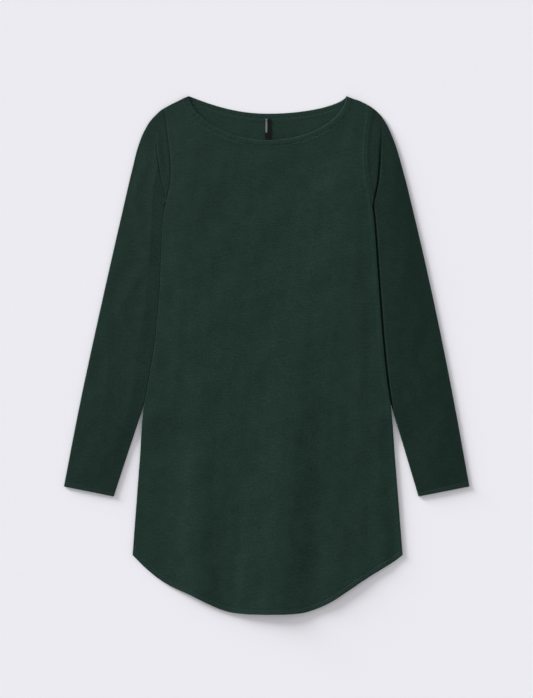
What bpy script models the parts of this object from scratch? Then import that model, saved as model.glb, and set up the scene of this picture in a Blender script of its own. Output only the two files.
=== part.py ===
"""Boat neck t-shirt with long sleeves and a curved hem, laid flat with its front up.

The garment lies on its back panel. "down" is measured from the neck points towards the hem and
"out" from the centre line, both in millimetres. Left and right are as seen from above. The meshes
are in metres: +X to the right, +Y towards the neck, +Z up, origin under the middle of the outline.
"""
import bpy
import numpy as np

MM = 0.001

# Cloth and seams
WALL = 1.2                  # wall of the panels and sleeves
SEAM_GAP = 0.3              # room between two pieces that are sewn together
DOUBLE = 2 * WALL + SEAM_GAP  # two walls on each other
EDGE_ROLL = 0.5             # the front's edges roll down by this much
EDGE_WIDTH = 1.5            # over this width
HEM_WIDTH = 7.0             # turned hem at the curved bottom and at the cuffs
HEM_FALL = 1.2              # width of the slope above a turned hem
HEM_RAISE = 0.6             # extra height of a turned hem

# Whole garment
LENGTH = 840.0              # neck points to the lowest point of the hem
LEFT_REACH = 330.2          # centre line to the left cuff's outer corner
RIGHT_REACH = 327.1
HEM_CORNER_OUT = 219.0      # where the side seams meet the hem
HEM_CORNER_DOWN = 743.5
UNDERARM_DOWN = 175.8

# Boat neckline: half an opening, its depth and how full the curve is
NECK_HALF = 127.5
NECK_SEAM_HALF = 136.0      # seam between neck band and panel, on the shoulder line
NECK_SEAM_START = 3.3
BAND_WIDTH = 7.5
BAND_THICK = 1.5
FRONT_NECK_DEPTH = 71.4
FRONT_NECK_POWER = (1.24, 1.10)   # at the left, at the right
BACK_NECK_DEPTH = 28.2
BACK_NECK_POWER = (2.16, 1.25)

# Loft: air between front and back, and inside a sleeve
FRONT_LOFT = 1.0
FRONT_LOFT_WIDTH = 45.0
NECK_LOFT = 0.6
NECK_LOFT_RADIUS = 60.0
SLEEVE_LOFT = 1.1
SLEEVE_LOFT_WIDTH = 30.0
UNDER_BODY_MARGIN = 5.0     # the sleeve is flat this far outside the body's edge
LIFT_REACH = 36.0           # the body comes down to the surface over this width

# Label
LABEL_WIDTH = 10.0
LABEL_LENGTH = 45.0
LABEL_THICK = 1.0

# Mesh density
SHOULDER_COLUMNS = 3
NECK_COLUMNS = 24           # shared by the panels and the bands, so that their seams match
SLEEVE_RINGS = 15
SLEEVE_COLUMNS = 6
COLUMN_LENGTH = 760.0       # mean length of a panel from its top edge to the hem

# sRGB colours
BOTTLE_GREEN = (0x23, 0x37, 0x30)
BAND_GREEN = (0x25, 0x3A, 0x33)
LABEL_BLACK = (0x16, 0x18, 0x19)


def table(names, *rows):
    """A short table with named columns, as one array for each name."""
    return dict(zip(names.split(), np.array(rows, float).T))


# Shoulder line from the neck point to the top of the armhole
SHOULDER = table(
    "out    left  right",
    (127.5, 0.0, 0.0),
    (136.0, 3.3, 3.3),
    (146.0, 8.2, 6.4),
    (156.0, 13.1, 10.8),
    (168.0, 19.6, 17.4),
)

# Body edge: armhole seam down to the underarm, then side seam down to the hem corner
BODY_EDGE = table(
    "down   left   right",
    (17.4, 168.5, 168.0),
    (41.0, 163.5, 163.9),
    (67.0, 160.1, 160.2),
    (93.0, 157.3, 158.9),
    (119.0, 155.7, 160.3),
    (141.8, 157.5, 162.8),
    (159.6, 161.3, 167.0),
    (175.8, 165.2, 171.2),
    (205.0, 169.4, 175.3),
    (248.7, 172.1, 177.9),
    (330.0, 176.0, 182.6),
    (410.7, 184.6, 189.4),
    (459.3, 192.6, 196.0),
    (500.0, 201.4, 201.5),
    (589.0, 206.7, 207.7),
    (743.5, 219.0, 219.0),
)

# Curved hem from the middle to the hem corners
HEM = table(
    "out    left   right",
    (0.0, 840.0, 840.0),
    (40.0, 838.8, 839.0),
    (60.0, 836.4, 836.8),
    (75.0, 832.1, 832.4),
    (105.0, 818.5, 818.6),
    (130.0, 806.3, 802.3),
    (150.0, 797.4, 788.6),
    (165.0, 789.7, 778.8),
    (190.0, 771.6, 763.6),
    (210.0, 753.0, 750.6),
    (219.0, 743.5, 743.5),
)

# Outer edge of the sleeves, a fold, from the top of the armhole to the cuff
SLEEVE_OUTER = table(
    "down   left   right",
    (17.4, 163.6, 168.0),
    (19.6, 168.0, 171.0),
    (29.5, 180.3, 181.9),
    (40.0, 190.0, 189.7),
    (56.0, 199.7, 198.1),
    (80.4, 209.5, 207.8),
    (117.9, 219.2, 218.8),
    (201.2, 238.6, 239.6),
    (330.0, 267.8, 268.8),
    (510.6, 306.7, 305.1),
    (632.6, 330.2, 327.1),
)

# Inner edge of the sleeves, under the body from the underarm to where they come out
SLEEVE_INNER = table(
    "down   left   right",
    (190.0, 165.5, 171.5),
    (205.0, 161.5, 167.0),
    (230.0, 155.0, 159.0),
    (262.0, 150.0, 151.0),
    (300.0, 148.5, 148.5),
    (350.0, 156.0, 156.0),
    (410.0, 172.6, 172.6),
    (460.0, 188.3, 188.3),
    (511.0, 204.1, 204.0),
    (569.4, 222.9, 221.8),
    (648.8, 249.2, 245.4),
)

# Crease in the sleeve head: cloth falls here from the body's level to the sleeve's own
CREASE = table(
    "down   left   right",
    (26.5, 177.2, 179.0),
    (54.0, 179.0, 182.9),
    (83.0, 178.9, 182.3),
    (117.0, 175.8, 179.9),
    (142.0, 170.3, 177.3),
    (160.0, 165.8, 174.2),
    (168.0, 167.3, 174.6),
    (175.6, 167.6, 173.8),
)
CREASE_WIDTH = 3.0
CREASE_BULGE = 0.3
CREASE_INSET = 0.9          # the wall's inner side falls this much nearer to the seam
FOOT_FLARE = 4.0            # the crease's foot swings out by this much round the underarm
FOOT_TURN = (-5.3, 2.0)     # and then turns in here, out and down

# Sections of a sleeve below its head, as shares of the way to the cuff
SLEEVE_SECTION = table(
    "share  outer  inner",
    (0.00, 44.0, 190.0),
    (0.15, 124.0, 252.0),
    (0.35, 238.0, 348.0),
    (0.60, 386.0, 468.0),
    (0.80, 508.0, 562.0),
    (1.00, 632.6, 648.8),
)
SLEEVE_LENGTH = 600.0
KNEE_LENGTH = 9.0           # least length of a ring's last stretch, beyond its knee
FIRST_BOW = 4.5             # the rings below the crease bow outwards like it
FIRST_BOW_SHARE = 0.06

# Where the body is lifted by the sleeve under it: how much, and from where outwards
LIFT = table(
    "down   amount  full",
    (17.4, 0.00, 150.0),
    (45.0, 0.00, 150.0),
    (70.0, 0.25, 149.0),
    (100.0, 0.60, 147.0),
    (140.0, 0.92, 145.0),
    (165.0, 1.00, 143.0),
    (205.0, 1.00, 142.0),
    (262.0, 1.00, 136.0),
    (300.0, 1.00, 134.5),
    (350.0, 1.00, 142.0),
    (410.0, 1.00, 158.0),
    (460.0, 1.00, 174.0),
    (520.0, 1.00, 188.0),
    (548.0, 0.40, 192.0),
    (575.0, 0.00, 195.0),
    (840.0, 0.00, 195.0),
)

# Largest soft folds of the front: crest at the top and at the hem, flanks and height
FOLDS = (
    dict(top=230.0, top_x=44.0, bottom=840.0, bottom_x=27.0, left=60.0, right=42.0, height=2.5),
    dict(top=360.0, top_x=-100.0, bottom=840.0, bottom_x=-108.0, left=46.0, right=38.0, height=1.6),
    dict(top=360.0, top_x=-166.0, bottom=760.0, bottom_x=-194.0, left=30.0, right=36.0, height=1.1),
    dict(top=420.0, top_x=122.0, bottom=840.0, bottom_x=110.0, left=42.0, right=46.0, height=1.2),
)

SIDES = {"left": -1, "right": 1}


def read(rows, name, at, key="down"):
    """A smooth cubic through one column of a table: its slope at a row is that of its neighbours."""
    x, y = rows[key], rows[name]
    slope = np.gradient(y, x)
    at = np.clip(at, x[0], x[-1])
    i = np.clip(np.searchsorted(x, at, side="right") - 1, 0, len(x) - 2)
    width = x[i + 1] - x[i]
    t = (at - x[i]) / width
    first = y[i] * (1 + 2 * t) * (1 - t) ** 2 + y[i + 1] * t * t * (3 - 2 * t)
    return first + width * (slope[i] * t * (1 - t) ** 2 + slope[i + 1] * t * t * (t - 1))


def ease(value, start, end):
    """0 before start, 1 after end, and an S-shaped rise between them."""
    t = np.clip((value - start) / (end - start), 0, 1)
    return t * t * (3 - 2 * t)


def on_side(x, left, right):
    """The left value where x is negative, and the right value elsewhere."""
    return np.where(x < 0, left, right)


def resample(points, distances):
    """Points at the given distances along a line of points."""
    run = np.concatenate([[0], np.cumsum(np.linalg.norm(np.diff(points, axis=0), axis=1))])
    return np.stack([np.interp(distances, run, points[:, k]) for k in (0, 1)], axis=-1)


def length_of(line):
    """Length of a line of points."""
    return np.linalg.norm(np.diff(line, axis=0), axis=1).sum()


def lift(x, down):
    """Height of the body's underside over the surface, where a sleeve lies under it."""
    out = np.abs(x)
    full = read(LIFT, "full", down)
    amount = np.clip(read(LIFT, "amount", down), 0, 1)
    return (DOUBLE + SEAM_GAP) * amount * ease(out, full - LIFT_REACH, full)


def front_loft(x, down):
    """Air under the front: none at the side seams and shoulders, more inwards and under folds."""
    out = np.abs(x)
    edge = on_side(x, read(BODY_EDGE, "left", down), read(BODY_EDGE, "right", down))
    along = np.maximum(out, NECK_HALF)
    shoulder = on_side(x, read(SHOULDER, "left", along, "out"), read(SHOULDER, "right", along, "out"))
    shoulder = shoulder + np.minimum(out - NECK_HALF, 0)
    inside = ease(edge - out, 0, FRONT_LOFT_WIDTH) * ease(down - shoulder, 0, FRONT_LOFT_WIDTH)
    near_neck = np.exp(-(x ** 2 + (down - FRONT_NECK_DEPTH) ** 2) / NECK_LOFT_RADIUS ** 2)
    height = FRONT_LOFT * inside + NECK_LOFT * near_neck
    for fold in FOLDS:
        share = np.clip((down - fold["top"]) / (fold["bottom"] - fold["top"]), 0, 1)
        crest = fold["top_x"] + (fold["bottom_x"] - fold["top_x"]) * share
        across = np.where(x < crest, (crest - x) / fold["left"], (x - crest) / fold["right"])
        ridge = 0.5 + 0.5 * np.cos(np.pi * np.clip(across, 0, 1))
        height = height + fold["height"] * ease(share, 0, 1) * ridge * ease(edge - out, 0, 20)
    return height


def neck_line(half, start, depth, powers, turn):
    """A boat neckline: x = -half cos(turn), down = start + depth sin(turn) to each side's power."""
    x = -half * np.cos(turn)
    return np.stack([x, start + depth * np.sin(turn) ** on_side(x, *powers)], axis=-1)


def panel_top(depth, powers):
    """Top edge of a panel: left shoulder, neckline seam, right shoulder."""
    half = NECK_SEAM_HALF + SEAM_GAP
    seam_depth = depth + BAND_WIDTH + SEAM_GAP - NECK_SEAM_START
    neck = neck_line(half, NECK_SEAM_START, seam_depth, powers, np.linspace(0, np.pi, NECK_COLUMNS + 1))
    tip = SHOULDER["out"][-1]
    share = np.concatenate([[0, EDGE_WIDTH / (tip - half)], np.linspace(0, 1, SHOULDER_COLUMNS + 1)[1:-1]])
    out = tip + (half - tip) * share
    left = np.stack([-out, read(SHOULDER, "left", out, "out")], axis=-1)
    right = np.stack([out, read(SHOULDER, "right", out, "out")], axis=-1)[::-1]
    return np.concatenate([left, neck, right])


def hem_line(shares):
    """Points on the curved hem, at shares of its length from the left corner to the right."""
    x = np.linspace(-HEM_CORNER_OUT, HEM_CORNER_OUT, 201)
    down = on_side(x, read(HEM, "left", np.abs(x), "out"), read(HEM, "right", np.abs(x), "out"))
    points = np.stack([x, down], axis=-1)
    found = resample(points, shares * length_of(points))
    slope = np.gradient(found[:, 1], found[:, 0])
    return found, np.sqrt(1 + slope ** 2)


def panel_plan(top, rows):
    """Grid of (x, down) that fills the outline between the top edge, the sides and the hem.

    A Coons patch: the two ruled surfaces, top to hem and side to side, added up, less the corners'
    bilinear surface. rows holds millimetres from the top where positive, else from the hem.
    """
    run = np.concatenate([[0], np.cumsum(np.linalg.norm(np.diff(top, axis=0), axis=1))])
    u = run / run[-1]
    bottom, steepness = hem_line(u)
    rows = np.array(rows)[:, None]
    v = np.where(rows > 0, rows / COLUMN_LENGTH, 1 + rows * steepness / COLUMN_LENGTH)
    v[0] = 0
    sides = []
    for side, sign in SIDES.items():
        start = top[0, 1] if sign < 0 else top[-1, 1]
        down = start + (HEM_CORNER_DOWN - start) * v
        out = read(BODY_EDGE, side, down) - SEAM_GAP / 2
        sides.append(np.stack([sign * out, down], axis=-1))
    u, v = u[None, :, None], v[..., None]
    ruled = (1 - v) * top[None] + v * bottom[None]
    across = (1 - u) * sides[0] + u * sides[1]
    corners = ((1 - u) * ((1 - v) * top[0] + v * bottom[0])
               + u * ((1 - v) * top[-1] + v * bottom[-1]))
    return ruled + across - corners


def place(plan, height):
    """World positions in metres of (x, down) points at a height in millimetres."""
    x = plan[..., 0] + (LEFT_REACH - RIGHT_REACH) / 2
    y = LENGTH / 2 - plan[..., 1]
    return np.stack([x, y, np.broadcast_to(height, x.shape)], axis=-1) * MM


def linear(rgb):
    """An sRGB colour of three bytes as linear light."""
    value = np.array(rgb) / 255
    return tuple(np.where(value <= 0.04045, value / 12.92, ((value + 0.055) / 1.055) ** 2.4)) + (1.0,)


def material(name, rgb, roughness):
    """A plain material with the piece's colour."""
    made = bpy.data.materials.new(name)
    made.use_nodes = True
    shader = made.node_tree.nodes["Principled BSDF"]
    shader.inputs["Base Color"].default_value = linear(rgb)
    shader.inputs["Roughness"].default_value = roughness
    shader.inputs["Metallic"].default_value = 0.0
    return made


def add_object(name, points, faces, finish):
    """A smooth-shaded object from points in metres and faces."""
    mesh = bpy.data.meshes.new(name)
    mesh.from_pydata(points.reshape(-1, 3).tolist(), [], faces)
    mesh.materials.append(finish)
    mesh.shade_smooth()
    mesh.set_sharp_from_angle(angle=0.7)
    made = bpy.data.objects.new(name, mesh)
    bpy.context.scene.collection.objects.link(made)
    return made


def quads(numbers):
    """Triangles over a grid of point numbers, each quad cut along the same diagonal."""
    a, b, c, d = numbers[:-1, :-1], numbers[1:, :-1], numbers[1:, 1:], numbers[:-1, 1:]
    first = np.stack([a, b, d], axis=-1).reshape(-1, 3)
    second = np.stack([b, c, d], axis=-1).reshape(-1, 3)
    return np.concatenate([first, second]).tolist()


def sheet(name, plan, low, high, finish):
    """A wall between two heights over a grid, closed along its four edges."""
    rows, columns = plan.shape[:2]
    points = np.stack([place(plan, low), place(plan, high)])
    numbers = np.arange(2 * rows * columns).reshape(2, rows, columns)
    under, over = numbers
    rim = np.concatenate([over[0, :-1], over[:-1, -1], over[-1, :0:-1], over[:0:-1, 0], over[:1, 0]])
    foot = np.concatenate([under[0, :-1], under[:-1, -1], under[-1, :0:-1], under[:0:-1, 0], under[:1, 0]])
    faces = quads(over) + quads(under[:, ::-1]) + quads(np.stack([foot, rim]))
    return add_object(name, points, faces, finish)


def roll_edges(height):
    """Lower the outermost points of a panel's top side, so that its edges roll down."""
    rolled = height.copy()
    rolled[[0, -1], :] -= EDGE_ROLL
    rolled[1:-1, [0, -1]] -= EDGE_ROLL
    return rolled


def panel_rows():
    """Rows of a panel: close at both ends, 18 mm apart beside the armhole, then 36 mm."""
    armhole = np.arange(18.0, 180.0, 18.0)
    body = np.linspace(190.0, COLUMN_LENGTH - 30.0, 16)
    return [0, EDGE_WIDTH, *armhole, *body, -HEM_WIDTH - HEM_FALL, -HEM_WIDTH, -EDGE_WIDTH, -1e-9]


def front_panel(cloth):
    """The front, arched a little over the back, with its largest folds and its turned hem."""
    plan = panel_plan(panel_top(FRONT_NECK_DEPTH, FRONT_NECK_POWER), panel_rows())
    x, down = plan[..., 0], plan[..., 1]
    low = lift(x, down) + WALL + SEAM_GAP + front_loft(x, down)
    high = low + WALL
    high[-3:] += HEM_RAISE
    return sheet("front_panel", plan, low, roll_edges(high), cloth)


def back_panel(cloth):
    """The back, flat on the surface but for the sides that lie on the sleeves."""
    plan = panel_plan(panel_top(BACK_NECK_DEPTH, BACK_NECK_POWER), panel_rows())
    low = lift(plan[..., 0], plan[..., 1])
    return sheet("back_panel", plan, low, low + WALL, cloth)


def neck_band(name, depth, powers, bottom, finish):
    """A folded strip between the finished neckline and its seam, with a round finished edge.

    The section runs round the strip: shares of its width from the neckline, and heights.
    """
    turn = np.linspace(0, np.pi, NECK_COLUMNS + 1)
    edge = neck_line(NECK_HALF, 0, depth, powers, turn)
    seam_depth = depth + BAND_WIDTH - NECK_SEAM_START
    seam = neck_line(NECK_SEAM_HALF, NECK_SEAM_START, seam_depth, powers, turn)
    across = np.array([0.0, 0.05, 0.16, 0.92, 1.0, 1.0, 0.16, 0.05])
    height = np.array([0.5, 0.83, 1.0, 1.0, 0.8, 0.0, 0.0, 0.17]) * BAND_THICK
    plan = edge[:, None] + (seam - edge)[:, None] * across[:, None]
    base = bottom(seam[:, 0], seam[:, 1])
    points = place(plan, base[:, None] + height)
    rings, around = plan.shape[:2]
    numbers = np.arange(rings * around).reshape(rings, around)
    looped = np.concatenate([numbers, numbers[:, :1]], axis=1)
    caps = [numbers[0].tolist(), numbers[-1, ::-1].tolist()]
    return add_object(name, points, quads(looped[:, ::-1]) + [cap[::-1] for cap in caps], finish)


def ring_line(side, number, share):
    """Line across a sleeve from its outer fold to its inner fold, as (out, down) points.

    Ring 0 is the armhole seam, rings 1 and 2 are the top and foot of the crease, and the others fan
    out to the cuff. They bend at a knee, to meet the inner fold squarely where it runs under the
    body. The knee's distance and the width that the body covers come with the line.
    """
    t = np.linspace(0, 1, 60)
    if number == 0:
        start = np.interp(SHOULDER["out"][-1], SLEEVE_OUTER[side], SLEEVE_OUTER["down"])
        down = start + (UNDERARM_DOWN - 0.5 - start) * t
        line = np.stack([read(BODY_EDGE, side, down) + SEAM_GAP / 2, down], axis=-1)
        return line, length_of(line) - KNEE_LENGTH, 0.0
    if number == 1:
        down = CREASE["down"][0] + (CREASE["down"][-1] - CREASE["down"][0]) * t
        line = np.stack([read(CREASE, side, down), down], axis=-1)
        return line, length_of(line) - KNEE_LENGTH, 0.0
    if number == 2:
        down = CREASE["down"][0] + CREASE_WIDTH + (CREASE["down"][-1] - CREASE["down"][0] - CREASE_WIDTH) * t
        flare = CREASE_WIDTH * ease(t, -0.2, 0.1) + FOOT_FLARE * ease(t, 0.84, 0.98)
        first = np.stack([read(CREASE, side, down) + flare, down], axis=-1)
        return np.concatenate([first, first[-1] + np.array(FOOT_TURN) * t[1:, None]]), length_of(first), 0.0
    outer_down = read(SLEEVE_SECTION, "outer", share, "share")
    inner_down = read(SLEEVE_SECTION, "inner", share, "share")
    outer = np.array([read(SLEEVE_OUTER, side, outer_down), outer_down])
    inner = np.array([read(SLEEVE_INNER, side, inner_down), inner_down])
    body = read(BODY_EDGE, side, inner_down)
    knee_out = max(body - UNDER_BODY_MARGIN / 2, inner[0] + KNEE_LENGTH)
    straight = ease(inner_down, UNDERARM_DOWN, 500.0)
    fall = straight * (inner_down - outer_down) / (outer[0] - inner[0])
    knee = np.array([knee_out, inner_down - fall * (knee_out - inner[0])])
    first = outer + (knee - outer) * t[:, None]
    first[:, 0] += FIRST_BOW * np.exp(-share / FIRST_BOW_SHARE) * np.sin(np.pi * t)
    covered = max(body - inner[0] + UNDER_BODY_MARGIN, 0.0)
    return np.concatenate([first, knee + (inner - knee) * t[1:, None]]), length_of(first), covered


def sleeve(name, side, cloth):
    """A long sleeve as a flattened tube, open at the armhole and the cuff.

    Each ring has columns from the outer fold to the inner fold. They make the upper and the lower
    layer, and the folds between the layers are half round.
    """
    sign = SIDES[side]
    fall = (HEM_WIDTH + HEM_FALL) / SLEEVE_LENGTH
    band = HEM_WIDTH / SLEEVE_LENGTH
    shares = np.linspace(0, 1 - 3 * fall, SLEEVE_RINGS)
    rings = [None, None, None, *shares, 1 - fall, 1 - band, 1.0]
    half = DOUBLE / 2
    edges = np.array([0.0, 0.5, 1.6])
    outer_plan, inner_plan, tops, bottoms, rounds = [], [], [], [], []
    for number, share in enumerate(rings):
        line, knee, covered = ring_line(side, number, share)
        width = length_of(line)
        body = np.linspace(edges[-1], knee, SLEEVE_COLUMNS + 1)[1:]
        hidden = knee + (width - knee) * 0.4
        at = np.array([*edges, *body, hidden, *(width - edges[::-1])])
        plan = resample(line, at)
        pulled = resample(line, WALL + 0.05 + at * (width - 2 * WALL - 0.1) / width)
        x, down = sign * plan[:, 0], plan[:, 1]
        raised = lift(x, down)
        if number < 2:
            top = DOUBLE + raised + CREASE_BULGE * number * ease(raised, 0, DOUBLE)
            bottom = raised * (1 - 0.4 * number)
        else:
            near = ease(at, 0, SLEEVE_LOFT_WIDTH) * ease(width - covered - at, 0, SLEEVE_LOFT_WIDTH)
            settle = 0.0 if share is None else ease(share, 0, 0.12)
            top = DOUBLE + SLEEVE_LOFT * near * settle
            bottom = np.zeros_like(top)
        if share is not None and share > 1 - fall * 0.9:
            top = top + HEM_RAISE
        if number in (1, 2):
            fallen = ease(lift(sign * read(BODY_EDGE, side, down), down), 0, DOUBLE)
            pulled[:, 0] -= CREASE_INSET * fallen * ease(width - at, 2.0, KNEE_LENGTH + 3.0)
        nearest = np.minimum(at, width - at)
        rounds.append(np.sqrt(1 - (1 - np.clip(nearest / half, 0, 1)) ** 2))
        outer_plan.append(np.stack([x, down], axis=-1))
        inner_plan.append(np.stack([sign * pulled[:, 0], pulled[:, 1]], axis=-1))
        tops.append(top)
        bottoms.append(bottom)
    outer_plan, inner_plan = np.array(outer_plan), np.array(inner_plan)
    tops, bottoms, rounds = np.array(tops), np.array(bottoms), np.array(rounds)
    middle = (tops + bottoms) / 2
    over = place(outer_plan, middle + (tops - middle) * rounds)
    under = place(outer_plan, middle - (middle - bottoms) * rounds)
    creased = np.ones_like(rounds)
    creased[:, [0, -1]] = 0
    roof = place(inner_plan, middle + (tops - WALL - middle) * creased)
    base = place(inner_plan, middle - (middle - bottoms - WALL) * creased)
    outside = np.concatenate([over, under[:, -2:0:-1]], axis=1)
    inside = np.concatenate([roof, base[:, -2:0:-1]], axis=1)
    points = np.stack([outside, inside])
    numbers = np.arange(outside.shape[0] * outside.shape[1] * 2).reshape(2, *outside.shape[:2])
    skin, lining = np.concatenate([numbers, numbers[:, :, :1]], axis=2)
    last = over.shape[1] - 1
    start = quads(np.stack([lining[0], skin[0]]))
    end = quads(np.stack([skin[-1], lining[-1]]))
    faces = start + end
    for layer, turned in ((skin, 1), (lining, -1)):
        upper = quads(layer[:, :last + 1])
        lower = [face[::-1] for face in quads(layer[:, :last - 1:-1])]
        faces += [face[::turned] for face in upper + lower]
    if sign > 0:
        faces = [face[::-1] for face in faces]
    return add_object(name, points, faces, cloth)


def label(finish):
    """A narrow woven label on the inside of the back, from the neck seam to under the front."""
    start = BACK_NECK_DEPTH + BAND_WIDTH + SEAM_GAP
    down = np.linspace(start, start + LABEL_LENGTH, 7)[:, None]
    x = np.linspace(-0.5, 0.5, 3) * LABEL_WIDTH
    plan = np.stack(np.broadcast_arrays(x, down), axis=-1)
    curl = 0.4 * np.sin(np.pi * (plan[..., 1] - start) / LABEL_LENGTH)
    low = WALL + SEAM_GAP + curl
    return sheet("label", plan, low, low + LABEL_THICK, finish)


def build():
    """Clear the scene and make every piece."""
    for old in list(bpy.data.objects):
        bpy.data.objects.remove(old)
    front_panel(material("front viscose jersey", BOTTLE_GREEN, 0.85))
    back_panel(material("back viscose jersey", BOTTLE_GREEN, 0.85))
    sleeve("sleeve_left", "left", material("left sleeve viscose jersey", BOTTLE_GREEN, 0.85))
    sleeve("sleeve_right", "right", material("right sleeve viscose jersey", BOTTLE_GREEN, 0.85))
    neck_band("neck_band_front", FRONT_NECK_DEPTH, FRONT_NECK_POWER,
              lambda x, down: WALL + 2 * SEAM_GAP + front_loft(x, down),
              material("front band viscose jersey", BAND_GREEN, 0.8))
    neck_band("neck_band_back", BACK_NECK_DEPTH, BACK_NECK_POWER,
              lambda x, down: np.zeros_like(x),
              material("back band viscose jersey", BAND_GREEN, 0.8))
    label(material("black woven satin", LABEL_BLACK, 0.5))


build()
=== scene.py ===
# %% [markdown]
# # A boat neck t-shirt, laid flat
# This lesson dresses the solids of a long sleeved boat neck top, which give its true outline, layers
# and walls. Here each wall becomes a fine cloth with soft folds, turned hems, real stitches and a
# knitted surface. Lengths are millimetres until a mesh is made, because that is how a maker measures.

import bpy
import numpy as np
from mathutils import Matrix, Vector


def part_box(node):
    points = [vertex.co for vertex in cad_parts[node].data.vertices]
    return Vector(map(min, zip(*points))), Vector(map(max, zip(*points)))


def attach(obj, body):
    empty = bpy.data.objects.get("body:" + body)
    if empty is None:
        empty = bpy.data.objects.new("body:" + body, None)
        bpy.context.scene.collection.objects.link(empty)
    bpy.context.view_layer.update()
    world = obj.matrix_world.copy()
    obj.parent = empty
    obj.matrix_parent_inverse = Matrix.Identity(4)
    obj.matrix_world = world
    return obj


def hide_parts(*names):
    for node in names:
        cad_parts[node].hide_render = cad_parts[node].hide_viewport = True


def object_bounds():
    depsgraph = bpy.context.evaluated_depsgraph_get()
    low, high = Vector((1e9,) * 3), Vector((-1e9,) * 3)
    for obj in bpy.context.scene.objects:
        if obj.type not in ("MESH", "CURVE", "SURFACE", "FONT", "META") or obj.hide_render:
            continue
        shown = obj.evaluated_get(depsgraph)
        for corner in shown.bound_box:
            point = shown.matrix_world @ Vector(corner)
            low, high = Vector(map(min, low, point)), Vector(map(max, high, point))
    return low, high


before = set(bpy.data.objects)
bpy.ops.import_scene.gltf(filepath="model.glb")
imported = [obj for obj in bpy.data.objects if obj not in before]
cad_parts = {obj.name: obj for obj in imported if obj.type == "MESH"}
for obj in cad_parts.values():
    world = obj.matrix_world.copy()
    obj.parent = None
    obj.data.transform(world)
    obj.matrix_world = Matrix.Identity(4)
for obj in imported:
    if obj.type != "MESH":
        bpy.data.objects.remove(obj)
cad_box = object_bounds()
MM = 0.001
LOW, HIGH = np.array(cad_box) / MM
print(len(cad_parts), "solids, in mm:", np.round(HIGH - LOW, 1))

# %% [markdown]
# ## Sizes of the garment
# A flat garment is measured like a pattern: "down" from the neck points and "out" from the centre
# line. The sizes are those of a light jersey top, sewn with an overlock and a twin needle.

# %% Driving sizes
WALL = 1.2                    # wall of a panel, where two cloths are sewn together
CLOTH = 0.75                  # cloth of a sleeve
SEAM_GAP = 0.3
DOUBLE = 2 * WALL + SEAM_GAP  # two walls on each other
HEM_WIDTH = 7.0               # turned hem at the bottom and at the cuffs
UNDERARM_DOWN = 175.8
COLUMN_LENGTH = 760.0         # mean length of a panel from its top edge to the hem
NECK_HALF = 127.5
NECK_SEAM_HALF = 136.0
NECK_SEAM_START = 3.3
BAND_WIDTH = 7.5
FRONT_NECK = dict(depth=71.4, powers=(1.24, 1.10))
BACK_NECK = dict(depth=28.2, powers=(2.16, 1.25))

# %% [markdown]
# The long outlines have no simple formula, so each is a short table of measurements, read with a
# smooth cubic by its first column: shoulder, armhole and side seam, curved hem, and the folds and the
# crease of a sleeve that lies flat.

# %% Tables of the outline
def table(names, *rows):
    """Named columns of a short table, one array each."""
    return dict(zip(names.split(), np.array(rows, float).T))


SHOULDER = table(
    "out left right",
    (127.5, 0, 0), (136, 3.3, 3.3), (146, 8.2, 6.4), (156, 13.1, 10.8), (168, 19.6, 17.4),
)
BODY_EDGE = table(
    "down left right",
    (17.4, 168.5, 168), (41, 163.5, 163.9), (67, 160.1, 160.2), (93, 157.3, 158.9),
    (119, 155.7, 160.3), (141.8, 157.5, 162.8), (159.6, 161.3, 167), (175.8, 165.2, 169.1),
    (205, 169.4, 172.6), (248.7, 172.1, 175.9), (330, 176, 181.7), (410.7, 184.6, 188.2),
    (459.3, 192.6, 193.4), (500, 200.2, 199.4), (589, 207.3, 206.8), (743.5, 219, 219),
)
HEM = table(
    "out left right",
    (0, 840, 840), (40, 838.8, 839), (60, 836.4, 836.8), (75, 832.1, 832.4), (105, 818.5, 818.6),
    (130, 806.3, 802.3), (150, 797.4, 788.6), (165, 789.7, 778.8), (190, 771.6, 763.6),
    (210, 753, 750.6), (219, 743.5, 743.5),
)
SLEEVE_OUTER = table(
    "down left right",
    (17.4, 163.6, 168), (19.6, 168, 171), (29.5, 180.3, 181.9), (40, 190, 189.7), (56, 199.7, 198.1),
    (80.4, 209.5, 207.8), (117.9, 219.2, 218.8), (201.2, 238.6, 239.6), (330, 267.8, 268.8),
    (510.6, 306.7, 305.1), (632.6, 330.2, 327.1),
)
SLEEVE_INNER = table(
    "down left right",
    (190, 165.5, 169.1), (205, 161.5, 164.9), (230, 155, 157.6), (262, 150, 151),
    (300, 148.5, 148.5), (350, 156, 156), (410, 172.6, 172.6), (460, 188.3, 188.3),
    (511, 204.1, 203.4), (569.4, 223.4, 220.9), (648.8, 249.4, 244.6),
)
CREASE = table(
    "down left right",
    (26.5, 177.2, 179), (54, 179, 182.9), (83, 178.9, 181), (117, 175.8, 179.1), (142, 170.3, 176.3),
    (160, 165.9, 172.3), (168, 165.8, 170.6), (175.6, 165.7, 169.7),
)
LIFT = table(
    "down amount full",
    (17.4, 0, 150), (45, 0, 150), (70, 0.25, 149), (100, 0.6, 147), (140, 0.92, 145), (165, 1, 143),
    (205, 1, 142), (262, 1, 136), (300, 1, 134.5), (350, 1, 142), (410, 1, 158), (460, 1, 174),
    (520, 1, 188), (548, 0.4, 192), (575, 0, 195), (840, 0, 195),
)
SLEEVE_SECTION = table(
    "share outer inner",
    (0, 44, 190), (0.15, 124, 252), (0.35, 238, 348), (0.6, 386, 468), (0.8, 508, 562),
    (1, 632.6, 648.8),
)
print("length from the neck points to the hem in mm:", HEM["left"][0])

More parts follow.
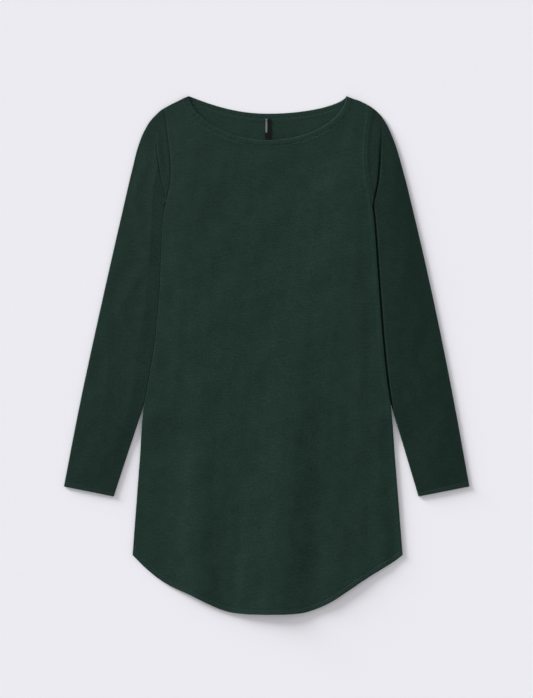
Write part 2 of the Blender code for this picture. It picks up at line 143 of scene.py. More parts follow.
# %% Reading tables and lines
def read(rows, name, at):
    """A smooth cubic through a column: its slope at a row is that of the row's neighbours."""
    x, y = next(iter(rows.values())), rows[name]
    slope = np.gradient(y, x)
    at = np.clip(at, x[0], x[-1])
    i = np.clip(np.searchsorted(x, at, side="right") - 1, 0, len(x) - 2)
    width = x[i + 1] - x[i]
    t = (at - x[i]) / width
    first = y[i] * (1 + 2 * t) * (1 - t) ** 2 + y[i + 1] * t * t * (3 - 2 * t)
    return first + width * (slope[i] * t * (1 - t) ** 2 + slope[i + 1] * t * t * (t - 1))


def ease(value, start, end):
    """0 before start, 1 after end, and 3t^2 - 2t^3 between them."""
    t = np.clip((value - start) / (end - start), 0, 1)
    return t * t * (3 - 2 * t)


def window(value, start, full, fades, end):
    """Eases up from start to full, and down from fades to end."""
    return ease(value, start, full) * (1 - ease(value, fades, end))


def bump(value, centre, width):
    """A bell: exp(-((value - centre) / width)^2)."""
    return np.exp(-((value - centre) / width) ** 2)


def dome(value):
    """Half a cosine: 1 at 0, falling to 0 at 1 and beyond."""
    return 0.5 + 0.5 * np.cos(np.pi * np.clip(value, 0, 1))


def on_side(x, left, right):
    """The left value where x is negative, and the right value elsewhere."""
    return np.where(x < 0, left, right)


def read_side(rows, x, at):
    """A table's left or right column, by the side where x is."""
    return on_side(x, read(rows, "left", at), read(rows, "right", at))


def between(first, second, share):
    """(1 - share) first + share second."""
    return (1 - share) * first + share * second


def as_points(*columns):
    """Points from their coordinates, one array or number for each."""
    return np.stack(np.broadcast_arrays(*columns), axis=-1)


def joined(*parts):
    """Arrays put end to end."""
    return np.concatenate(parts)


def unit(vectors):
    """Vectors brought to length 1."""
    return vectors / np.maximum(np.linalg.norm(vectors, axis=-1, keepdims=True), 1e-12)


def running(points):
    """Distance along each row of points, from its first point."""
    steps = np.linalg.norm(np.diff(points, axis=-2), axis=-1)
    return np.insert(np.cumsum(steps, axis=-1), 0, 0, axis=-1)


def resample(line, at):
    """Points of a line at the given distances from its start."""
    run = running(line)
    return as_points(*(np.interp(at, run, column) for column in line.T))


# %% [markdown]
# ## How high the cloth lies
# A garment on a table is a few millimetres of cloth on cloth. What the eye reads as softness is the
# small change of height, since a slope of one in ten already turns the light. The height is a sum of
# plain terms: the sleeve under the body, air in the middle, and listed folds. A cloth simulation
# is another way, but its folds would not lie where this garment has them.

# %% Lift and loft
LIFT_REACH = 135.0
FRONT_LOFT = 0.7
FRONT_LOFT_WIDTH = 62.0
NECK_LOFT = 0.6
NECK_LOFT_RADIUS = 60.0
MOUND = dict(height=3.6, half_width=205.0, down=(60.0, 430.0, 430.0, 832.0))


def lift(x, down):
    """Height of the body's underside over the table, where a sleeve lies under it."""
    full = read(LIFT, "full", down)
    amount = np.clip(read(LIFT, "amount", down), 0, 1)
    return (DOUBLE + SEAM_GAP) * amount * ease(np.abs(x), full - LIFT_REACH, full)


def loft(x, down):
    """Air between front and back: none at the seams, some at the neckline, and a low mound."""
    out = np.abs(x)
    shoulder = read_side(SHOULDER, x, np.maximum(out, NECK_HALF)) + np.minimum(out - NECK_HALF, 0)
    inside = ease(read_side(BODY_EDGE, x, down) - out, 0, FRONT_LOFT_WIDTH)
    inside = inside * ease(down - shoulder, 0, FRONT_LOFT_WIDTH)
    near_neck = np.exp(-(x ** 2 + (down - FRONT_NECK["depth"]) ** 2) / NECK_LOFT_RADIUS ** 2)
    mound = MOUND["height"] * window(down, *MOUND["down"]) * dome(out / MOUND["half_width"])
    return FRONT_LOFT * inside + NECK_LOFT * near_neck + mound


# %% [markdown]
# ## Folds placed one by one
# Each row is one soft fold: where its crest starts and ends, how far it bows sideways, how wide its
# two flanks are, and how high it stands, or how deep if negative. The crest is a straight line plus a
# half sine, a flank is half a cosine, and both flanks widen towards the hem.

# %% Fold tables
FRONT_FOLDS = table(
    "top top_x bottom bottom_x bow left right height",
    (215, 53, 860, 22, 2, 84, 58, 3.2), (250, 24, 860, 12, 0, 215, 190, 1.4),
    (290, -150, 860, -158, 4, 52, 54, -0.9), (330, -100, 860, -110, -5, 72, 42, 2),
    (400, 116, 850, 108, 4, 44, 46, 1.5), (430, 176, 790, 190, -3, 34, 20, 0.9),
    (520, -22, 850, -38, 3, 26, 30, 0.8), (250, -134, 560, -140, 5, 20, 22, -0.5),
    (120, 128, 420, 150, 6, 26, 18, 0.6), (95, -132, 330, -138, -5, 24, 30, 0.3),
)
BACK_FOLDS = table(
    "top top_x bottom bottom_x bow left right height",
    (240, 40, 860, 22, 4, 60, 40, 1.5), (360, -96, 850, -112, -4, 40, 30, 0.9),
    (430, 104, 860, 112, 5, 36, 34, 0.7), (60, -20, 300, -32, 3, 34, 28, 0.5),
)


def folds(rows, x, down):
    """Sum of the soft folds of a table: height x growth along the crest x half cosine across it."""
    x, down = x[..., None], down[..., None]
    share = np.clip((down - rows["top"]) / (rows["bottom"] - rows["top"]), 0, 1)
    crest = rows["top_x"] + (rows["bottom_x"] - rows["top_x"]) * share + rows["bow"] * np.sin(np.pi * share)
    flank = np.where(x < crest, rows["left"], rows["right"]) * (0.62 + 0.38 * share)
    return (rows["height"] * ease(share, 0, 0.9) * dome(np.abs(x - crest) / flank)).sum(axis=-1)


# %% [markdown]
# Between the folds no cloth is quite flat. A few long sine waves in different directions, each under
# half a millimetre high, give that faint restlessness. Random noise would too, but a short table is
# easy to read and always gives the same result.

# %% Faint waves
WAVES = table(
    "length angle height phase",
    (143, 12, 0.42, 0.4), (97, 64, 0.26, 2.1), (71, 151, 0.2, 4.4), (53, 31, 0.13, 1.3),
    (37, 118, 0.085, 5.2), (29, 76, 0.055, 3.3), (23, 5, 0.045, 0.9),
)


def waves(x, down, shift=0.0):
    """Sum of sine waves, each height x sin(2 pi (x cos a + down sin a) / length + phase)."""
    angle = np.radians(WAVES["angle"])
    along = x[..., None] * np.cos(angle) + down[..., None] * np.sin(angle)
    turn = 2 * np.pi * along / WAVES["length"] + WAVES["phase"] + shift
    return (WAVES["height"] * np.sin(turn)).sum(axis=-1)


# %% [markdown]
# ## From grids to meshes
# Each piece is a grid of points worked out as whole arrays. A cloth wall is two such grids, closed by
# a narrow rim. Towards an edge they round over to each other like a quarter circle, because folded or
# sewn cloth never ends in a knife edge. Each point also carries its place in the flat cloth, so that
# the knitting follows the grain of the piece.

# %% Mesh helpers
EDGE_STEPS = np.array([0.04, 0.14, 0.35, 0.7, 1.15])   # rows beside an edge that rounds over
CENTRE = (SLEEVE_OUTER["left"][-1] - SLEEVE_OUTER["right"][-1]) / 2
FLAT_PLACE = "cloth_mm"
WEAR_AND_HIGHLIGHT = "fold_wear_and_highlight"
INSIDE_SHIFT = (0.0, 0.0, 400.0)   # the cloth's inside takes its pattern from elsewhere


def place(plan, height):
    """World positions in metres of (x, down) points at a height in millimetres."""
    return as_points(plan[..., 0] + CENTRE, HIGH[1] - plan[..., 1], height) * MM


def nose(distance, radius):
    """A quarter circle: 0 at the edge, 1 from the radius inwards."""
    t = np.clip(distance / radius, 0, 1)
    return np.sqrt(1 - (1 - t) ** 2)


def quads(numbers):
    """Four-sided faces over a grid of point numbers."""
    corners = numbers[:-1, :-1], numbers[1:, :-1], numbers[1:, 1:], numbers[:-1, 1:]
    return np.stack(corners, axis=-1).reshape(-1, 4)


def closed(grid):
    """A grid with its first column again at its end."""
    return np.concatenate([grid, grid[:, :1]], axis=1)


def new_object(name, data):
    """An object at the origin that holds a mesh, a light or a camera, put into the scene."""
    made = bpy.data.objects.new(name, data)
    bpy.context.scene.collection.objects.link(made)
    return made


def cloth_object(name, points, faces, cloth, wear_and_highlight, finish):
    """A smooth mesh object with its place in the flat cloth and its wear and painted highlight at every
    point.
    """
    mesh = bpy.data.meshes.new(name)
    mesh.from_pydata(points.reshape(-1, 3), [], faces.tolist())
    mesh.update()
    mesh.shade_smooth()
    mesh.materials.append(finish)
    for key, kind, field, values in ((FLAT_PLACE, "FLOAT_VECTOR", "vector", cloth),
                                     (WEAR_AND_HIGHLIGHT, "FLOAT", "value", np.clip(wear_and_highlight, 0, 1))):
        carried = mesh.attributes.new(key, kind, "POINT")
        carried.data.foreach_set(field, values.astype(np.float32).ravel())
    print(f"{name}: {len(mesh.vertices)} points, {2 * len(mesh.polygons)} triangles")
    return new_object(name, mesh)


# %% A wall between two heights
def wall(name, plan, flat, low, high, wear_and_highlight, finish):
    """A closed cloth wall over a grid of (x, down), from its underside to its upper side."""
    rows, columns = plan.shape[:2]
    numbers = np.arange(2 * rows * columns).reshape(2, rows, columns)
    rims = [joined(side[0, :-1], side[:-1, -1], side[-1, :0:-1], side[:0:-1, 0], side[:1, 0])
            for side in numbers]
    under, over = numbers
    faces = joined(quads(over), quads(under[:, ::-1]), quads(np.stack(rims)))
    cloth = as_points(flat[..., 0], flat[..., 1], 0.0)
    return cloth_object(name, np.stack([place(plan, low), place(plan, high)]), faces,
                        np.stack([cloth + INSIDE_SHIFT, cloth]), np.stack([wear_and_highlight, wear_and_highlight]), finish)


# %% [markdown]
# ## Finishes
# Each finish starts from what the real one is and how it was made. One small function adds a node
# with its settings and links. Colours are given as sRGB values, turned to linear light.

# %% Colour and node helpers
def linear(code):
    """An sRGB hex colour as linear light."""
    value = np.array([int(code[i:i + 2], 16) for i in (1, 3, 5)]) / 255
    return (*np.where(value <= 0.04045, value / 12.92, ((value + 0.055) / 1.055) ** 2.4), 1.0)


def wire(node, inputs):
    """Set a node's inputs by name or number, or link an output to them."""
    for key, value in inputs.items():
        if isinstance(value, bpy.types.NodeSocket):
            node.id_data.links.new(value, node.inputs[key])
        else:
            node.inputs[key].default_value = value


def add(tree, kind, inputs=(), **settings):
    """Add a node with its settings, wire its inputs by name or in order, and give its outputs."""
    node = tree.nodes.new("ShaderNode" + kind)
    for key, value in settings.items():
        setattr(node, key, value)
    wire(node, inputs if isinstance(inputs, dict) else dict(enumerate(inputs)))
    return node.outputs


def new_finish(name, **constants):
    """A material, its node tree and its shader, with the shader's constant values."""
    made = bpy.data.materials.new(name)
    made.use_nodes = True
    shader = made.node_tree.nodes["Principled BSDF"]
    wire(shader, {key.replace("_", " "): value for key, value in constants.items()})
    return made, made.node_tree, shader


def sine(tree, turns):
    """sin(2 pi turns)."""
    angle = add(tree, "Math", [turns, 2 * np.pi], operation="MULTIPLY")[0]
    return add(tree, "Math", [angle], operation="SINE")[0]


def noise(tree, vector, size, detail=2.0, roughness=0.5):
    """Noise over the flat cloth, stretched to a size in millimetres."""
    scaled = add(tree, "VectorMath", [vector, size], operation="DIVIDE")[0]
    return add(tree, "TexNoise", {"Vector": scaled, "Scale": 1.0, "Detail": detail,
                                  "Roughness": roughness})["Fac"]


# %% [markdown]
# **Viscose single jersey, knitted on a circular machine and piece dyed.** Narrow columns of V shaped
# loops, the wales, lie about 0.9 mm apart. From a step away they melt into a matt surface with a
# faint mottle of short bars along the rows, because the spun yarn is thicker and thinner along its
# length. The pattern reads the place in the flat cloth that each point carries.

# %% Viscose jersey
WALE = 0.95                   # between two columns of loops
COURSE = 0.75                 # between two rows of loops
YARN_BAR = (15.0, 1.7, 1.0)
SPUN_YARN = (3.6, 2.6, 1.0)
DYE_CLOUD = (19.0, 26.0, 1.0)
DARK, LIGHT = linear("#131E19"), linear("#1F312C")
BLUE, OLIVE = linear("#152829"), linear("#1C281E")
# a paler green mixed in where cloth is folded or sewn: partly wear, partly a painted highlight on the
# rounded edges
WORN_AND_HIGHLIGHT = linear("#294238")
MOTTLE_START = -2.45          # brings the mean of the mottle to the middle of its two tones
HUE_SHARE = 0.35
WORN_AND_HIGHLIGHT_SHARE = 0.55


def knit_height(tree, vector):
    """Height of the loops: a rounded rib for each wale, crossed by slanted legs that meet in a V."""
    counted = add(tree, "VectorMath", [vector, (WALE, COURSE, 1.0)], operation="DIVIDE")[0]
    split = add(tree, "SeparateXYZ", [counted])
    side = add(tree, "Math", [split[0], 0.5], operation="PINGPONG")[0]
    slanted = add(tree, "Math", [split[1], side], operation="SUBTRACT")[0]
    legs = add(tree, "Math", [sine(tree, slanted), 0.3], operation="MULTIPLY")[0]
    return add(tree, "Math", [sine(tree, side), 0.7, legs], operation="MULTIPLY_ADD")[0]


def jersey(name, shade):
    """Knitted viscose: mottled colour, soft sheen, loops and fuzz as bump, paler where folded as wear and
    painted highlight.
    """
    made, tree, shader = new_finish(
        name, IOR=1.46, Specular_IOR_Level=0.3, Specular_Tint=linear("#8DC4AE"),
        Sheen_Weight=0.03, Sheen_Roughness=0.5, Sheen_Tint=linear("#8FB8A8"))
    vector = add(tree, "Attribute", attribute_name=FLAT_PLACE)["Vector"]
    wear_and_highlight = add(tree, "Attribute", attribute_name=WEAR_AND_HIGHLIGHT)["Fac"]
    bars = noise(tree, vector, YARN_BAR, detail=3.0)
    spun = noise(tree, vector, SPUN_YARN, roughness=0.7)
    clouds = noise(tree, vector, DYE_CLOUD)
    knit = knit_height(tree, vector)
    mottle = MOTTLE_START
    for pattern, swing in ((bars, 1.9), (spun, 3.2), (clouds, 0.8), (knit, 0.05)):
        mottle = add(tree, "Math", [pattern, swing, mottle], operation="MULTIPLY_ADD")[0]
    tone = add(tree, "Mix", {0: mottle, 6: DARK, 7: LIGHT}, data_type="RGBA")[2]
    hue = add(tree, "Mix", {0: clouds, 6: BLUE, 7: OLIVE}, data_type="RGBA")[2]
    cloth = add(tree, "Mix", {0: HUE_SHARE, 6: tone, 7: hue}, data_type="RGBA")[2]
    shaded = add(tree, "VectorMath", {0: cloth, 3: shade}, operation="SCALE")[0]
    worn_and_highlight = add(tree, "Math", [wear_and_highlight, WORN_AND_HIGHLIGHT_SHARE], operation="MULTIPLY")[0]
    colour = add(tree, "Mix", {0: worn_and_highlight, 6: shaded, 7: WORN_AND_HIGHLIGHT}, data_type="RGBA")[2]
    rough = add(tree, "MapRange", {"Value": spun, "To Min": 0.62, "To Max": 0.8})[0]
    loops = add(tree, "Bump", {"Height": knit, "Distance": 0.00006, "Strength": 0.6})[0]
    fuzz = add(tree, "Bump", {"Height": spun, "Distance": 0.0003, "Strength": 0.4, "Normal": loops})[0]
    wire(shader, {"Base Color": colour, "Roughness": rough, "Normal": fuzz})
    return made


body_jersey = jersey("viscose single jersey, knitted", shade=0.98)
# The sleeves are darker copies of the same jersey, the right one darkest: painted shade, not a different
# cloth.
left_sleeve_shaded_jersey = jersey("viscose single jersey, knitted, left sleeve, painted shade", shade=0.78)
right_sleeve_shaded_jersey = jersey("viscose single jersey, knitted, right sleeve, painted shade", shade=0.7)
band_jersey = jersey("viscose jersey strip, folded", shade=0.98)

# %% [markdown]
# **Polyester sewing thread, spun and twisted, dyed to match.** It is a little glossier and paler than
# the cloth, and its twist shows as slanted bars about half a millimetre apart.

# %% Sewing thread
TWIST = 0.55
thread, tree, shader = new_finish("polyester sewing thread, twisted", Roughness=0.55, IOR=1.5,
                                  Specular_IOR_Level=0.3)
vector = add(tree, "Attribute", attribute_name=FLAT_PLACE)["Vector"]
slant = (1 / TWIST, 1 / TWIST, 0.0)
bars = sine(tree, add(tree, "VectorMath", [vector, slant], operation="DOT_PRODUCT")["Value"])
tone = add(tree, "MapRange", {"Value": bars, "From Min": -1.0})[0]
colour = add(tree, "Mix", {0: tone, 6: linear("#17271F"), 7: linear("#263C34")}, data_type="RGBA")[2]
relief = add(tree, "Bump", {"Height": bars, "Distance": 0.00006, "Strength": 0.8})[0]
wire(shader, {"Base Color": colour, "Normal": relief})

# %% [markdown]
# **Black polyester satin ribbon, woven.** Satin floats lie in fine lengthwise ribs, which makes the
# ribbon glossier along its length than the jersey. The ribs are drawn 0.5 mm apart, about twice the
# real spacing. A plain pale bar woven along it, a little left of its middle, is all it bears.

# %% Woven label
RIB = 0.5
FLOAT = (0.5, 2.0, 1.0)
PALE_BAR = ((-2.0, 1.5), (11.9, 11.1))        # middle and half size, across and along the ribbon
PALE_BAR_SHARE = 0.8
ribbon, tree, shader = new_finish("black polyester satin ribbon, woven", IOR=1.5,
                                  Specular_IOR_Level=0.12, Sheen_Weight=0.01)
vector = add(tree, "Attribute", attribute_name=FLAT_PLACE)["Vector"]
split = add(tree, "SeparateXYZ", [vector])
ribs = sine(tree, add(tree, "Math", [split[0], RIB], operation="DIVIDE")[0])
floats = noise(tree, vector, FLOAT)
tone = add(tree, "Math", [ribs, 0.2, floats], operation="MULTIPLY_ADD")[0]
black = add(tree, "Mix", {0: tone, 6: linear("#090B0B"), 7: linear("#141717")}, data_type="RGBA")[2]
bar = PALE_BAR_SHARE
for value, (middle, half) in zip(split, PALE_BAR):
    inside = add(tree, "Math", [value, middle, half], operation="COMPARE")[0]
    bar = add(tree, "Math", [bar, inside], operation="MULTIPLY")[0]
colour = add(tree, "Mix", {0: bar, 6: black, 7: linear("#6E7273")}, data_type="RGBA")[2]
rough = add(tree, "MapRange", {"Value": floats, "To Min": 0.34, "To Max": 0.5})[0]
relief = add(tree, "Bump", {"Height": tone, "Distance": 0.00008, "Strength": 0.7})[0]
wire(shader, {"Base Color": colour, "Roughness": rough, "Normal": relief})
print("finishes:", ", ".join(made.name for made in bpy.data.materials))

# %% [markdown]
# ## Front and back
# Each body panel is one piece of jersey with four sides: shoulders and neckline, two seams and hem. A
# Coons patch fills such an outline with an even grid: the surface ruled from top to hem, plus the one
# ruled from side to side, minus the one that the four corners span. Rows lie closer where the cloth
# turns, folds back or is stitched. The neckline is a wide shallow curve: the cosine carries a point
# across and the sine, raised to a power for each side, carries it down. A power over 1 keeps it
# straight near the shoulders and full in the middle.

# %% Outline of a panel
NECK_COLUMNS = 104
CORNER_CROWDING = 1.25        # columns lie closer towards a neck corner, evenly where it is 1
CORNER_LEAN = 7.0             # how far columns swing outwards below a neck corner
CORNER_LEAN_DOWN = 42.0
CORNER_LEAN_WIDTH = 26.0
SEAM_STEPS = np.array([2.0, 3.2, 4.6, 6.2, 8.0, 10.2])
TOP_STEPS = np.array([1.8, 2.5, 3.4, 4.6, 5.6, 6.3, 6.8, 7.3, 8.0, 9.2, 11.0, 13.5])
HEM_STEPS = np.array([2.0, 2.9, 3.4, 3.7, 4.0, 4.6, 5.5, 6.3, 6.9, 7.4, 8.4, 10.0, 12.5])
HEM_ZONE = 18.0               # no evenly spaced row lies closer to a hem or a cuff
BODY_ROWS = 232
INNER_COLUMNS = 7             # between the armhole's columns and the neckline
SIDE_COLUMNS = len(EDGE_STEPS) + len(SEAM_STEPS) + INNER_COLUMNS
FINE_LINE = 2001              # points on a line that is read or measured


def neck_line(half, start, depth, powers, count):
    """x = -half cos t, down = start + depth sin(t) to each side's power, evenly spaced points."""
    turn = (0.5 - 0.5 * np.cos(np.linspace(0, np.pi, FINE_LINE))) * np.pi
    x = -half * np.cos(turn)
    line = as_points(x, start + depth * np.sin(turn) ** on_side(x, *powers))
    return resample(line, np.linspace(0, running(line)[-1], count))


def neck_seam(neck, gap, count):
    """The seam of a neckline, or a line at a small gap outside it."""
    depth = neck["depth"] + BAND_WIDTH + gap - NECK_SEAM_START
    return neck_line(NECK_SEAM_HALF + gap, NECK_SEAM_START, depth, neck["powers"], count)


def panel_top(neck):
    """Top edge of a panel: left shoulder, neckline seam, right shoulder."""
    line = neck_seam(neck, SEAM_GAP, FINE_LINE)
    share = np.linspace(-1, 1, NECK_COLUMNS + 1)
    x = line[-1, 0] * np.sign(share) * (1 - (1 - np.abs(share)) ** CORNER_CROWDING)
    seam = as_points(x, np.interp(x, *line.T))
    tip = SHOULDER["out"][-1]
    inner = np.linspace(tip - SEAM_STEPS[-1], seam[-1, 0], INNER_COLUMNS + 2)[1:-1]
    out = joined(tip - EDGE_STEPS, tip - SEAM_STEPS, inner)
    left = as_points(-out, read(SHOULDER, "left", out))
    right = as_points(out, read(SHOULDER, "right", out))
    return joined(left, seam, right[::-1])


def hem_line(shares):
    """Points at shares of the hem's length, and how much longer than level it is there."""
    x = np.linspace(-HEM["out"][-1], HEM["out"][-1], 801)
    points = as_points(x, read_side(HEM, x, np.abs(x)))
    found = resample(points, shares * running(points)[-1])
    return found, np.sqrt(1 + np.gradient(found[:, 1], found[:, 0]) ** 2)


def distance_from(line, points):
    """Distance of each point from the nearest of a line's straight pieces."""
    piece = np.diff(line, axis=0)
    offset = points[..., None, :] - line[:-1]
    share = np.clip((offset * piece).sum(axis=-1) / (piece ** 2).sum(axis=-1), 0, 1)
    return np.linalg.norm(offset - share[..., None] * piece, axis=-1).min(axis=-1)


# %% Grid of a panel
def panel_grid(neck):
    """Grid of (x, down) inside a panel's outline, and each point's distance from its edges.

    Below each corner of the neckline the columns swing outwards by lean (s / r) e^(1 - s / r), s down,
    or else they would cross, because there the neckline runs the way that they do.
    """
    top = panel_top(neck)
    u = running(top) / running(top)[-1]
    bottom, steep = hem_line(u)
    middle = np.linspace(TOP_STEPS[-1], COLUMN_LENGTH - HEM_ZONE, BODY_ROWS)[1:]
    upper = joined(EDGE_STEPS, TOP_STEPS, middle)[:, None]
    lower = joined(EDGE_STEPS, HEM_STEPS)[::-1, None]
    v = joined(upper / COLUMN_LENGTH + 0 * u, 1 - lower * steep / COLUMN_LENGTH)
    sides = []
    for side, sign, start in (("left", -1, top[0, 1]), ("right", 1, top[-1, 1])):
        down = start + (HEM["left"][-1] - start) * v
        sides.append(as_points(sign * (read(BODY_EDGE, side, down) - SEAM_GAP / 2), down))
    w, h = u[None, :, None], v[..., None]
    corners = between(between(top[0], bottom[0], h), between(top[-1], bottom[-1], h), w)
    plan = between(top, bottom, h) + between(*sides, w) - corners
    fall = v * COLUMN_LENGTH / CORNER_LEAN_DOWN
    lean = CORNER_LEAN * bump(np.abs(top[:, 0]), NECK_SEAM_HALF, CORNER_LEAN_WIDTH)
    plan[..., 0] += np.sign(top[:, 0]) * lean * fall * np.exp(1 - fall)
    run = running(plan)
    shoulders = [distance_from(line, plan) for line in (top[:SIDE_COLUMNS + 1], top[-SIDE_COLUMNS - 1:])]
    edges = dict(neck=distance_from(top[SIDE_COLUMNS:-SIDE_COLUMNS], plan),
                 shoulder=np.minimum(*shoulders), bottom=(1 - v) * COLUMN_LENGTH / steep,
                 side=np.minimum(run, run[:, -1:] - run) + EDGE_STEPS[0])
    edges["top"] = np.minimum(edges["neck"], edges["shoulder"])
    return plan, edges


# %% [markdown]
# The height of the upper side adds the marks of sewing to the terms above: a turned hem is thicker,
# stitches pull it down in fine grooves, the allowance inside is a faint flat ridge beside each seam,
# the shoulder seam sits a little forward, and the right armhole's seam pulls the body's edge down.

# %% Marks of sewing
HEM_STITCHES = (3.7, 7.1)     # rows of a twin needle, from the hem's edge
HEM_GROOVES = ((3.7, 0.65, 0.14), (7.4, 1.1, 0.3))    # place, width and depth
HEM_FALL = 2.8
HEM_RAISE = 0.2
ALLOWANCE = 6.0
ALLOWANCE_HEIGHT = 0.15
NECK_ALLOWANCE_HEIGHT = 0.1
SHOULDER_SEAM = 7.0
SHOULDER_GROOVE = (0.04, 0.12)                # depth at the left and at the right
NECK_STITCH = 2.0             # from the neckline seam
SEAM_ROUNDING = 0.5
NECK_ROUNDING = 0.25
SEAM_DIP = (0.0, 0.35)        # how deep, at the left and at the right
SEAM_DIP_WIDTH = 1.8
SEAM_DIP_DOWN = (25.0, 50.0, 95.0, 135.0)


def turned_hem(from_edge):
    """Extra height of a turned hem with its two grooves of stitches."""
    height = HEM_RAISE * (1 - ease(from_edge, HEM_WIDTH, HEM_WIDTH + HEM_FALL))
    for row, width, depth in HEM_GROOVES:
        height = height - depth * bump(from_edge, row, width)
    return height


def hem_wear_and_highlight(from_edge):
    """Wear and painted highlight on a hem's fold, and less of it up to the stitches."""
    return 0.25 * (1 - ease(from_edge, 0.4, 2.4)) + 0.08 * (1 - ease(from_edge, 6, 7.5))


def allowance(from_seam, height):
    """Faint flat ridge that a seam allowance makes beside a seam."""
    return height * window(from_seam, 0.4, 2.6, ALLOWANCE - 1.4, ALLOWANCE + 2.2)


def neck_allowance(edges):
    """The ridge beside the neckline seam, which fades before the shoulders."""
    return allowance(edges["neck"], NECK_ALLOWANCE_HEIGHT) * ease(edges["shoulder"], 20, 50)


def seam_dip(down, off_seam):
    """How far cloth is pulled down beside the armhole seam: a bell across, fading at both ends."""
    return bump(off_seam, 0, SEAM_DIP_WIDTH) * window(down, *SEAM_DIP_DOWN)


def round_over(low, high, distance, tip_share, radius):
    """Bring a wall's two sides together towards its edge, at a share of its thickness."""
    tip = low + (high - low) * tip_share
    turn = nose(distance, radius)
    return tip + (low - tip) * turn, tip + (high - tip) * turn


def panel_wall(name, plan, edges, low, high, seam_tip):
    """A panel that rounds over at its edges, more at some than at others, and its two skins."""
    nearest = np.minimum(edges["side"], np.minimum(edges["top"], edges["bottom"]))
    at_neck = edges["neck"] <= nearest
    flat_seam = at_neck | ((edges["side"] <= nearest) & (plan[..., 1] < UNDERARM_DOWN))
    tip_share = np.where(~flat_seam & (edges["bottom"] > 3.0), seam_tip, 0.5)
    radius = np.where(at_neck, NECK_ROUNDING, SEAM_ROUNDING)
    radius = np.where(edges["bottom"] <= nearest, WALL, radius)
    low, high = round_over(low, high, nearest, tip_share, radius)
    # paler at the hem, beside the side seam allowance and at the neckline: wear and painted highlight
    wear_and_highlight = hem_wear_and_highlight(edges["bottom"]) + 0.2 * bump(edges["side"], ALLOWANCE, 1.2)
    wear_and_highlight = wear_and_highlight + 0.15 * (1 - ease(edges["neck"], 0.5, 2.5))
    return wall(name, plan, plan, low, high, wear_and_highlight, body_jersey), place(plan, low), place(plan, high)


# %% Front
front_plan, front_edges = panel_grid(FRONT_NECK)
x, down, side = front_plan[..., 0], front_plan[..., 1], front_edges["side"]
calm = ease(side, 0, 30) * ease(front_edges["top"], 0, 25)
air = loft(x, down) + folds(FRONT_FOLDS, x, down) * ease(side, 0, 20)
air = np.maximum(air + 0.8 * waves(x, down) * calm, 0)
armhole = 1 - 0.45 * ease(down, UNDERARM_DOWN - 20, UNDERARM_DOWN + 30)
hem = turned_hem(front_edges["bottom"])
groove = on_side(x, *SHOULDER_GROOVE) * bump(front_edges["shoulder"], SHOULDER_SEAM, 0.9)
sewing = allowance(side, ALLOWANCE_HEIGHT) * armhole + hem + neck_allowance(front_edges)
sewing = sewing - groove * ease(front_edges["neck"], 1, 6) * ease(side, 1, 6)
dip = on_side(x, *SEAM_DIP) * seam_dip(down, side)
top = lift(x, down) + DOUBLE + air + sewing - dip
front_body, _, front_points = panel_wall(
    "front_body", front_plan, front_edges, top - (WALL + hem - dip), top, 0.02)

# %% [markdown]
# The back lies on the table. Where the front has a fold the back has a lower one, because the two
# were laid down together. Its inside shows through the neck opening.

# %% Back
back_plan, back_edges = panel_grid(BACK_NECK)
x, down, side = back_plan[..., 0], back_plan[..., 1], back_edges["side"]
calm = ease(side, 0, 30) * ease(back_edges["top"], 0, 20)
ripple = np.maximum(0.45 * (waves(x, down, shift=1.7) + 0.5), 0) * calm
low = lift(x, down) + folds(BACK_FOLDS, x, down) * ease(side, 0, 20)
low = low + ripple * (1 - ease(down, 60, 110) * 0.6)
back_body, back_under, back_inside = panel_wall(
    "back_body", back_plan, back_edges, low, low + WALL + neck_allowance(back_edges), 0.98)

# %% [markdown]
# ## Neck edge
# The neckline is bound with a narrow folded strip of the same jersey. It is a profile carried along a
# path: the strip's own section, a thin cloth that runs from the seam to the finished edge, turns
# round and comes back, goes along the neckline. A real section gives the edge its soft light line.
# The strip ends flush with the panel.

# %% Neck strips
STRIP_HALF_CLOTH = 0.25
STRIP_LOW = 0.35
STRIP_HIGH = 0.8
STRIP_OVERLAP = 0.4           # the sewn edge reaches a little over the panel's edge
STRIP_LEAF = np.array([BAND_WIDTH + SEAM_GAP + STRIP_OVERLAP, BAND_WIDTH + SEAM_GAP, 6.4, 5.0, 3.2, 1.6])
STRIP_CROWN = STRIP_HIGH + np.array([0.04, 0.05, 0.1, 0.12, 0.1, 0.03])
STRIP_RINGS = 190
STRIP_PUCKER = 0.07
PUCKER_PITCH = 8.5


def strip_section():
    """Closed outline of a folded strip, half a cloth to either side of its middle line.

    The line runs along the lower leaf, round a half circle and back along the upper leaf.
    """
    radius = (STRIP_HIGH - STRIP_LOW) / 2
    turn = np.linspace(-np.pi / 2, np.pi / 2, 9)
    fold = radius + STRIP_HALF_CLOTH - radius * np.cos(turn)
    height = joined(np.full(len(STRIP_LEAF), STRIP_LOW),
                    (STRIP_HIGH + STRIP_LOW) / 2 + radius * np.sin(turn), STRIP_CROWN[::-1])
    line = as_points(joined(STRIP_LEAF, fold, STRIP_LEAF[::-1]), height)
    along = unit(np.gradient(line, axis=0))
    aside = as_points(along[:, 1], -along[:, 0]) * STRIP_HALF_CLOTH
    return joined(line - aside, (line + aside)[::-1])


